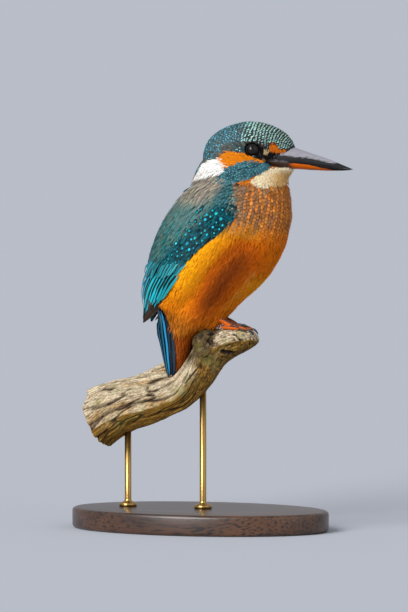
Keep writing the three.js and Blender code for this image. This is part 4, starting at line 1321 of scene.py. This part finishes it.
def blades(name, material, rows, side, tree, half_width, lifts, ground, mark, form):
    """Long feathers over a wing. The rows give each one's start and end, along and round the trunk."""
    count = len(rows)
    starts, start_out = on_body(rows[:, 0], rows[:, 1], side, tree)
    ends, end_out = on_body(rows[:, 2], rows[:, 3], side, tree)
    line = np.empty((count, len(FLIGHT_STATIONS), 3))
    normal = np.empty_like(line)
    for r, s in enumerate(FLIGHT_STATIONS):
        out = unit(start_out * (1 - s) + end_out * s)
        aim = starts * (1 - s) + ends * s + out * 5 * MM
        spots = np.array([tree.find_nearest(Vector(spot))[0] for spot in aim])
        line[:, r] = spots + out * (lifts * min(1, 2.2 * s) - 0.6 * MM * (1 - s) ** 3)[:, None]
        normal[:, r] = out
    place, size = form
    form = (place * [-side, 1, 1], size)
    tract = feather_mesh(name, eased(line), normal, BLADE, half_width, BLADE_THICKNESS, ground, mark, form,
                         unwrapped(line[:, 0]))
    place_piece(tract, material, "plumage_wing")


primary_plumage = plumage("primary_feather", 2.5, 0.5)
secondary_plumage = plumage("secondary_feather", 2.5, 0.4)
for side, name in SIDES:
    wing_tree = tree_of("wing_" + name)
    count = len(PRIMARIES)
    dark = varied(mixed("#2b201a", "#4c3b2d", np.linspace(0, 1, count)), 0.05)
    blades("primaries_" + name, primary_plumage, PRIMARIES, side, wing_tree, 2.2 * MM,
           np.linspace(-0.1, 0.1, count) * MM, dark, dark * 0.3, mark_at(count, -0.2, 0.5, 0.12, 3))
    count = len(SECONDARIES)
    web = webs(SECONDARY_WEBS)
    blades("secondaries_" + name, secondary_plumage, SECONDARIES, side, wing_tree, 1.45 * MM,
           np.linspace(0.6, 1.15, count) * MM, web, web * 0.03, mark_at(count, 0.35, 0.5, 0.46, 3))
    count = len(GREATER_COVERTS)
    web = varied(mixed("#0d6f78", "#2f9098", draw.random(count)), 0.2)
    ragged = GREATER_COVERTS + draw.normal(0, 1, GREATER_COVERTS.shape) * [0.006, 1.0, 0.008, 1.2]
    ragged = ragged - [0, 0, 0.01, 0]
    blades("greater_coverts_" + name, secondary_plumage, ragged, side, wing_tree, 1.1 * MM,
           np.linspace(0.35, 1.1, count) * MM, web, web * 0.2, mark_at(count, 0.35, 0.4, 0.4, 3))

# ---- head, nape and throat -----------------------------------------------------------------------
# The smallest feathers. On the crown they lie in rows, each with a pale bar near its tip, so that the bars
# join across the head. Behind, the bars break up into blue spots. The ear patch, the throat and the neck
# patch are silky.
bare_bill = inside(face_head[:, [0, 2]], BILL_BASE) > 0.9
near_eye = (from_eye(face_head) < 3.3) & (face_head[:, 2] > -8)
head_zone = (face_head[:, 2] > HEAD_UNDER - np.where(face_head[:, 0] > 4, 3, 1)) & ~bare_bill & ~near_eye
bar_plumage = plumage("crown_feather", 3.0, 0.55)
silk_plumage = plumage("ear_feather", 3.0, 0.65, 1.2, 0.05)
roots, faces = rows_from_bill(0.85 * MM, 56 * MM)
straying = smoothstep(20, 30, np.linalg.norm(head_place(roots) - BILL_MIDDLE, axis=1))[:, None]
roots, faces = on_coat(roots + draw.normal(0, 0.3 * MM, roots.shape) * straying)
way = np.linalg.norm(head_place(roots) - BILL_MIDDLE, axis=1) * MM
bar_length = 2.2 * row_gap(way)
place = head_place(shown_at(roots, faces, bar_length))
barred = head_zone[faces] & (place[:, 2] > HEAD_UNDER) & (from_eye(place) > 3.1)
barred &= np.isin(head_region(place), [CROWN_ID, NAPE_ID, MALAR_ID])
roots, faces, place, bar_length, way = (rows[barred] for rows in (roots, faces, place, bar_length, way))
region = head_region(place)
count = len(roots)
brown = varied(mixed("#1f2e2f", "#3f342b", draw.random(count)), 0.15)
rear = smoothstep(22, 32, way / MM)
slate = varied(mixed("#3a4644", "#27505a", draw.random(count)), 0.15)
ground = brown * (1 - rear[:, None]) + slate * rear[:, None]
malar = varied(mixed("#1a424c", "#37636b", np.clip(0.5 + noise_at(roots, 2 * MM), 0, 1)), 0.15)
ground = np.where((region == MALAR_ID)[:, None], malar, ground)
bar = varied(mixed("#93bdb3", "#4a9db4", rear), 0.3)
bar = np.where((region == MALAR_ID)[:, None], varied(coloured("#4f8a90", count), 0.25), bar)
plain_top = read_off(CROWN_EDGE, place[:, 0]) + 2.6 + draw.normal(0, 0.6, count)
plain = (place[:, 0] < 4) & (place[:, 2] < plain_top) & (region == CROWN_ID)
dull = varied(mixed("#2f3c3d", "#504f45", draw.random(count)), 0.15)
ground = np.where(plain[:, None], dull, ground)
bar = np.where(plain[:, None], dull * 1.4, bar)
form_place, form_size = mark_at(count, 0, 0.82, 2.4, 0.08)
spotted = (rear > 0.45) | (region != CROWN_ID)
form_size[spotted] = [1 / 0.5, 1 / 0.13, 0]
form_size[spotted] *= draw.uniform(0.85, 2.0, (spotted.sum(), 1))
form_size[region == MALAR_ID] = [1 / 0.6, 1 / 0.07, 0]
grow_vanes("feathers_crown", bar_plumage, "plumage_head", roots, faces, bar_length, 0.68 * MM, 0.07 * MM,
           ground, bar, (form_place, form_size), head=True, lean=0.04, thick=0.05)
roots, faces = scatter(head_zone, 0.72 * MM)
way = from_bill[form_faces[faces]].mean(axis=1) / MM
first_region = head_region(head_place(roots))
silk_length = np.where(first_region == EAR_ID, 4.4, 1.6 + 2.2 * smoothstep(6, 22, way)) * MM
seen = shown_at(roots, faces, silk_length)
place = head_place(seen)
region = head_region(place)
silky = np.isin(region, [EAR_ID, WHITE_ID, THROAT_ID, ORANGE_ID, SPOT_ID, LORE_ID, COLLAR_ID, MANTLE_ID])
silky &= (place[:, 2] > HEAD_UNDER - 1) | (inside(place[:, [0, 2]], THROAT) > 0)
silky &= from_eye(place) > 3.0
ground = varied(markings_and_shade(seen[silky]), 0.05, 0.02)
grow_barbs("feathers_face", silk_plumage, "plumage_head", roots[silky], faces[silky], silk_length[silky],
           0.11 * MM, 0.05 * MM, ground, 5, 0.45 * MM, head=True, uneven=0.09)

# ---- tail ----------------------------------------------------------------------------------------
# Twelve short blue feathers of stiff keratin, folded into a narrow roof round the back of the tail. Each has
# a black shaft, and their roots lie under the feathers of the back and of the vent.
TAIL_WEBS = ("#1b2c36", "#10212c", "#2388c0", "#1f6078", "#2a88a4", "#1f7cb0")  # from the outermost inwards
tail_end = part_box("tail")[0].z
tail_tree = tree_of("tail", "trunk")
count = 2 * len(TAIL_WEBS)
turns = np.radians(np.linspace(-82, 82, count))
line = np.empty((count, len(FLIGHT_STATIONS), 3))
normal = np.empty_like(line)
for r, s in enumerate(FLIGHT_STATIONS):
    for i, turn in enumerate(turns):
        top = 0.112 - 0.013 * abs(turn / turns[-1]) ** 1.5
        z = top + (tail_end + 0.5 * MM + 1.6 * MM * abs(turn) - top) * s
        middle = Vector((TAIL_FROM - max(0, 0.078 - z) * 0.3, 0, z))
        out = Vector((-math.cos(turn), math.sin(turn), 0))
        spot, face_out, _, _ = tail_tree.ray_cast(middle + out * 0.03, -out)
        line[i, r] = spot + face_out * (0.35 + 0.35 * math.cos(turn)) * MM
        normal[i, r] = out
web = webs(TAIL_WEBS + TAIL_WEBS[::-1])
tail = feather_mesh("rectrices", eased(line), normal, BLADE, 1.7 * MM, BLADE_THICKNESS, web, web * 0.05,
                    mark_at(count, 0.15, 0.5, 0.32, 3), unwrapped(line[:, 0]))
place_piece(tail, plumage("tail_feather", 2.5, 0.45), "plumage_tail")

# ---- bill ----------------------------------------------------------------------------------------
# Two horn sheaths over bone, long and dagger-shaped. The upper is black, painted pale grey towards its ridge
# as a painted reflection of the sky. The lower is orange at its base and black at the tip, as in a female.
BILL_TIP = (54.4, -6.0)  # ahead and up in the head's frame, in millimetres
MOUTH_FALL = math.tan(math.radians(6.2))
LIP = 0.06  # half the gap of the closed mouth, in millimetres
# Rows are [ahead, up to the culmen, down to the keel, half width], in millimetres.
BILL_ROWS = np.array(
    [[12.6, 0.6, -2.3, 8.9], [14.2, 1.6, -3.4, 8.7], [16.5, 3.1, -4.7, 7.6], [20, 5.0, -5.5, 6.4],
     [24.9, 4.9, -5.9, 5.2], [29.7, 3.2, -6.05, 4.2], [35.3, 1.35, -6.4, 3.3], [42.4, -1.0, -6.7, 2.3],
     [49.2, -3.75, -6.6, 1.25], [52.8, -5.25, -6.35, 0.65], [54.4, -5.9, -6.12, 0.12]]
)


def from_head(ahead, left, up):
    """A place in the head's own frame, in millimetres, as a place in the part's frame."""
    return Vector(head_origin + (head_ahead * ahead + head_left * left) * MM + np.array([0, 0, up]) * MM)


def bill_horn(name, codes, bounds, index):
    """Horn: a polished keratin sheath with fine lines along it, of another colour at base, middle and tip,
    and a last pale colour: a painted reflection high on the sides, and the gape line.
    """
    material, tree = new_material(name)
    ahead = add_node(tree, "Attribute", {"attribute_name": "Ahead"}, {}).outputs["Fac"]
    ridge = add_node(tree, "Attribute", {"attribute_name": "Sheen and gape"}, {}).outputs["Fac"]
    place = add_node(tree, "TexCoord", {}, {}).outputs["Object"]
    lines = add_node(tree, "Mapping", {}, {"Vector": place, "Scale": (0.12, 0.4, 1.0)})
    cloud = add_node(tree, "TexNoise", {}, {"Vector": lines, "Scale": 1 / (0.5 * MM), "Detail": 4.0})
    ragged = add_node(tree, "Math", {"operation": "MULTIPLY_ADD"}, {0: cloud, 1: 6.0, 2: ahead})
    colour = linear(codes[0])
    for code, (start, end) in zip(codes[1:-1], bounds):
        change = add_node(tree, "MapRange", SOFT, {"Value": ragged, "From Min": start, "From Max": end})
        colour = add_node(tree, "Mix", MIX, {0: change, 6: colour, 7: linear(code)}).outputs[2]
    # The last colour is a painted reflection of the sky high on the sides, and the pale line at the gape,
    # which is the gape's own edge and a painted highlight.
    sheen_and_gape = add_node(tree, "Math", {"operation": "MULTIPLY_ADD"}, {0: cloud, 1: 0.5, 2: ridge})
    painted_sheen = add_node(tree, "MapRange", SOFT, {"Value": sheen_and_gape, "From Min": 0.72, "From Max": 0.95})
    colour = add_node(tree, "Mix", MIX, {0: painted_sheen, 6: colour, 7: linear(codes[-1])}).outputs[2]
    shade = add_node(tree, "MapRange", {}, {"Value": cloud, "To Min": 0.7, "To Max": 1.25})
    streaked = add_node(tree, "Mix", TIMES, {0: 1.0, 6: colour, 7: shade}).outputs[2]
    rough = add_node(tree, "MapRange", {}, {"Value": cloud, "To Min": 0.28, "To Max": 0.48})
    bump = add_node(tree, "Bump", {}, {"Height": cloud, "Strength": 0.25, "Distance": 0.1 * MM})
    shader = add_node(tree, "BsdfPrincipled", {},
                      {"Base Color": streaked, "Roughness": rough, "IOR": index, "Normal": bump})
    return finished(material, shader)


def mouth_height(ahead):
    """How high the mouth line lies in the head's own frame, in millimetres."""
    return BILL_TIP[1] + MOUTH_FALL * (BILL_TIP[0] - ahead)


def mandible(name, upper):
    """One half of the bill, from the gape to the tip, with its mouth edge on one sloping line."""
    rings = []
    stations = np.linspace(BILL_ROWS[0, 0], BILL_ROWS[-1, 0], 46)
    angles = np.linspace(0, math.pi, 15)
    for ahead in stations:
        top, keel, half = (read_off(BILL_ROWS, ahead, column) for column in (1, 2, 3))
        mouth = mouth_height(ahead) + (LIP if upper else -LIP)
        reach = (top - mouth) if upper else (keel - mouth)
        ring = []
        for angle in angles:
            bulge = math.sin(angle) ** (0.9 if upper else 0.8)
            ring.append(from_head(ahead, half * math.cos(angle), mouth + reach * bulge))
        for left in (-0.6, 0, 0.6):
            ring.append(from_head(ahead, left * half, mouth + 0.04 * reach))
        rings.append(ring)
    obj = closed_loft(name, rings)
    place = head_place(points_of(obj.data)[0])
    rise = place[:, 2] - mouth_height(place[:, 0])
    top = read_off(BILL_ROWS, place[:, 0]) - (place[:, 2] - rise)
    # The black of the lower half comes further back along the mouth than along the keel.
    slant = 0 if upper else 9 * (rise + 1.0) * smoothstep(30, 35, place[:, 0])
    set_attribute(obj.data, "Ahead", "FLOAT", place[:, 0] + slant)
    # The upper half is painted pale towards its ridge as a painted reflection; the pale line at the gape is
    # the gape's edge and a painted highlight.
    fade = smoothstep(53, 42, place[:, 0]) * (1 + 0.35 * smoothstep(34, 25, place[:, 0]))
    gape = 0.6 * smoothstep(0.5, 0.2, np.abs(rise - 0.15)) * smoothstep(30, 22, place[:, 0])
    ridge = np.maximum(rise / np.maximum(top, 0.5) * fade, gape) if upper else gape
    set_attribute(obj.data, "Sheen and gape", "FLOAT", ridge)
    return obj


upper_horn = bill_horn("upper_horn", ["#211d1d", "#141214", "#8b8990"], [(26, 34)], 1.42)
lower_horn = bill_horn("lower_horn", ["#3a2a22", "#b85200", "#17130f", "#8f8683"], [(26, 31), (42, 46)], 1.22)
place_piece(mandible("horn_upper", True), upper_horn, "bill_upper", "bill_upper")
place_piece(mandible("horn_lower", False), lower_horn, "bill_lower", "bill_lower")

# ---- eyes ----------------------------------------------------------------------------------------
# Glass eyes as taxidermists set them: very dark brown, with a high clear dome, bedded in the head. Round each
# lies a ring of bare black lid that closes the edge of the skin.


def glass_eye():
    """Black-brown glass, fire-polished: a sharp, wet shine."""
    material, tree = new_material("dark_glass")
    place = add_node(tree, "TexCoord", {}, {}).outputs["Object"]
    depth = add_node(tree, "TexNoise", {}, {"Vector": place, "Scale": 1 / (2 * MM)})
    colour = add_node(tree, "Mix", MIX, {0: depth, 6: linear("#050404"), 7: linear("#1a100b")}).outputs[2]
    shader = add_node(tree, "BsdfPrincipled", {}, {"Base Color": colour, "Roughness": 0.05, "IOR": 1.38})
    return finished(material, shader)


def lid_skin():
    """Bare skin of the eyelid: black, finely wrinkled, a little damp."""
    material, tree = new_material("eyelid_skin")
    place = add_node(tree, "TexCoord", {}, {}).outputs["Object"]
    wrinkles = add_node(tree, "TexNoise", {}, {"Vector": place, "Scale": 1 / (0.35 * MM), "Detail": 3.0})
    colour = add_node(tree, "Mix", MIX,
                      {0: wrinkles, 6: linear("#070605"), 7: linear("#1a1512")}).outputs[2]
    bump = add_node(tree, "Bump", {}, {"Height": wrinkles, "Strength": 0.6, "Distance": 0.15 * MM})
    shader = add_node(tree, "BsdfPrincipled", {},
                      {"Base Color": colour, "Roughness": 0.6, "IOR": 1.3, "Normal": bump})
    return finished(material, shader)


LID_ROLL = 0.32  # radius of the lid's rolled edge, in millimetres
glass, lid_finish = glass_eye(), lid_skin()
for side, name, middle in ((-1, "right", right_eye), (1, "left", left_eye)):
    low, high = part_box("eye_" + name)
    radius = (high.z - low.z) / 2
    out = Vector(head_left) * side
    up, ahead = Vector((0, 0, 1)), Vector(head_ahead)
    rings = []
    for angle in np.linspace(0.02, math.pi - 0.02, 24):
        ring = []
        for turn in np.linspace(0, 2 * math.pi, 40, endpoint=False):
            across = (ahead * math.cos(turn) + up * math.sin(turn)) * math.sin(angle)
            ring.append(middle + (across + out * math.cos(angle)) * radius)
        rings.append(ring)
    place_piece(closed_loft("eyeball_" + name, rings), glass, "eye", "eye_" + name)
    rings = []
    for turn in np.linspace(0, 2 * math.pi, 49):
        spoke = ahead * math.cos(turn) + up * math.sin(turn) * 0.92
        centre = middle + spoke * radius * 0.93 + out * radius * 0.36
        ring = []
        for angle in np.linspace(0, 2 * math.pi, 10, endpoint=False):
            ring.append(centre + (spoke * math.cos(angle) + out * math.sin(angle)) * LID_ROLL * MM)
        rings.append(ring)
    place_piece(closed_loft("eyelid_" + name, rings), lid_finish, "eye")

# ---- legs and claws ------------------------------------------------------------------------------
# Short orange-red legs with soft scutes across the toes, dried round a wire that is fixed in the perch. The
# curved claws are black horn, and they hold the wood.


def foot_skin():
    """Leg skin: waxy orange-red scales with darker joints, and dark grey-brown where it faces up: painted
    shade.
    """
    material, tree = new_material("foot_skin")
    place = add_node(tree, "TexCoord", {}, {}).outputs["Object"]
    scales = add_node(tree, "TexVoronoi", {"feature": "DISTANCE_TO_EDGE"},
                      {"Vector": place, "Scale": 1 / (0.6 * MM)})
    joint = add_node(tree, "MapRange", {}, {"Value": scales, "From Max": 0.12})
    facing = add_node(tree, "NewGeometry", {}, {}).outputs["Normal"]
    up = add_node(tree, "SeparateXYZ", {}, {0: facing}).outputs["Z"]
    # Skin that faces up is painted dark grey-brown: painted shade.
    top = add_node(tree, "MapRange", SOFT, {"Value": up, "From Min": 0.2, "From Max": 0.7})
    skin = add_node(tree, "Mix", MIX, {0: top, 6: linear("#e26600"), 7: linear("#634a40")}).outputs[2]
    colour = add_node(tree, "Mix", MIX, {0: joint, 6: linear("#4a2014"), 7: skin}).outputs[2]
    bump = add_node(tree, "Bump", {}, {"Height": joint, "Strength": 0.5, "Distance": 0.1 * MM})
    shader = add_node(tree, "BsdfPrincipled", {},
                      {"Base Color": colour, "Roughness": 0.5, "IOR": 1.25, "Normal": bump})
    return finished(material, shader)


def claw_horn():
    """Claw horn: black, polished by use, brown where it is thin."""
    material, tree = new_material("claw_horn")
    place = add_node(tree, "TexCoord", {}, {}).outputs["Object"]
    cloud = add_node(tree, "TexNoise", {}, {"Vector": place, "Scale": 1 / (0.7 * MM), "Detail": 3.0})
    colour = add_node(tree, "Mix", MIX, {0: cloud, 6: linear("#0d0b0a"), 7: linear("#2b201a")}).outputs[2]
    shader = add_node(tree, "BsdfPrincipled", {}, {"Base Color": colour, "Roughness": 0.42, "IOR": 1.4})
    return finished(material, shader)


scaled, horn = foot_skin(), claw_horn()
for name in ("right", "left"):
    foot = fused("foot_" + name, ["leg_" + name], 0.2 * MM, 0.05 * MM, 4)
    place_piece(foot, scaled, "foot_skin", "leg_" + name)
    claws = ["_".join(("claw", name, toe)) for toe in ("hallux", "inner", "middle", "outer")]
    place_piece(fused("claws_" + name, claws, 0.1 * MM, 0.03 * MM, 3), horn, "claw", *claws)

# ---- studio --------------------------------------------------------------------------------------
# A wide pale grey floor, a broad soft key light from the upper left, a weak fill from the right, a narrower
# light from above, and the camera.
BACKDROP = "#b0b4bb"
FLOOR_REACH = 300.0
FLOOR_SIDES = 64
floor_mesh = bpy.data.meshes.new("floor")
angles = np.linspace(0, 2 * math.pi, FLOOR_SIDES, endpoint=False)
edge = [(FLOOR_REACH * math.cos(a), FLOOR_REACH * math.sin(a), 0) for a in angles]
floor_mesh.from_pydata(edge, [], [tuple(range(FLOOR_SIDES))])
floor = in_scene("floor", floor_mesh)
paper, tree = new_material("matt_paper")
matt = add_node(tree, "BsdfPrincipled", {},
                {"Base Color": linear("#b1b4bb"), "Roughness": 1.0, "Specular IOR Level": 0.0})
floor.data.materials.append(finished(paper, matt))

world = bpy.data.worlds.new("studio")
world.use_nodes = True
world.node_tree.nodes["Background"].inputs["Color"].default_value = linear(BACKDROP)
world.node_tree.nodes["Background"].inputs["Strength"].default_value = 1.0
bpy.context.scene.world = world

LOOK_TURN, LOOK_DOWN = math.radians(20), math.radians(3)
LOOK_AT = Vector((1.9 * MM * math.cos(LOOK_TURN), 1.9 * MM * math.sin(LOOK_TURN), 107.5 * MM))
FAR = 3.0  # from the camera to the place that it looks at
SEEN_HEIGHT = 293.8 * MM
right = Vector((math.cos(LOOK_TURN), math.sin(LOOK_TURN), 0))
forward = Vector((-math.sin(LOOK_TURN), math.cos(LOOK_TURN), 0))
camera_data = bpy.data.cameras.new("camera")
camera_data.sensor_width = 36
camera_data.lens = camera_data.sensor_width * FAR / SEEN_HEIGHT
camera_data.clip_end = 1000
camera = in_scene("camera", camera_data)
camera.location = LOOK_AT - forward * FAR * math.cos(LOOK_DOWN) + Vector((0, 0, FAR * math.sin(LOOK_DOWN)))
camera.rotation_euler = (LOOK_AT - camera.location).to_track_quat("-Z", "Y").to_euler()
bpy.context.scene.camera = camera


def sun(name, towards, strength, spread):
    """A far soft white light that shines from a direction: right, back to the camera, and up."""
    light = bpy.data.lights.new(name, "SUN")
    light.energy = strength
    light.angle = math.radians(spread)
    source = right * towards[0] - forward * towards[1] + Vector((0, 0, towards[2]))
    in_scene(name, light).rotation_euler = source.to_track_quat("Z", "Y").to_euler()


sun("key", (-0.8, 1.15, 0.62), 3.2, 34)
sun("fill", (0.9, 0.6, 0.5), 0.4, 60)
sun("top", (-0.62, 0.42, 0.9), 0.8, 26)
bpy.context.scene.view_settings.view_transform = "Standard"
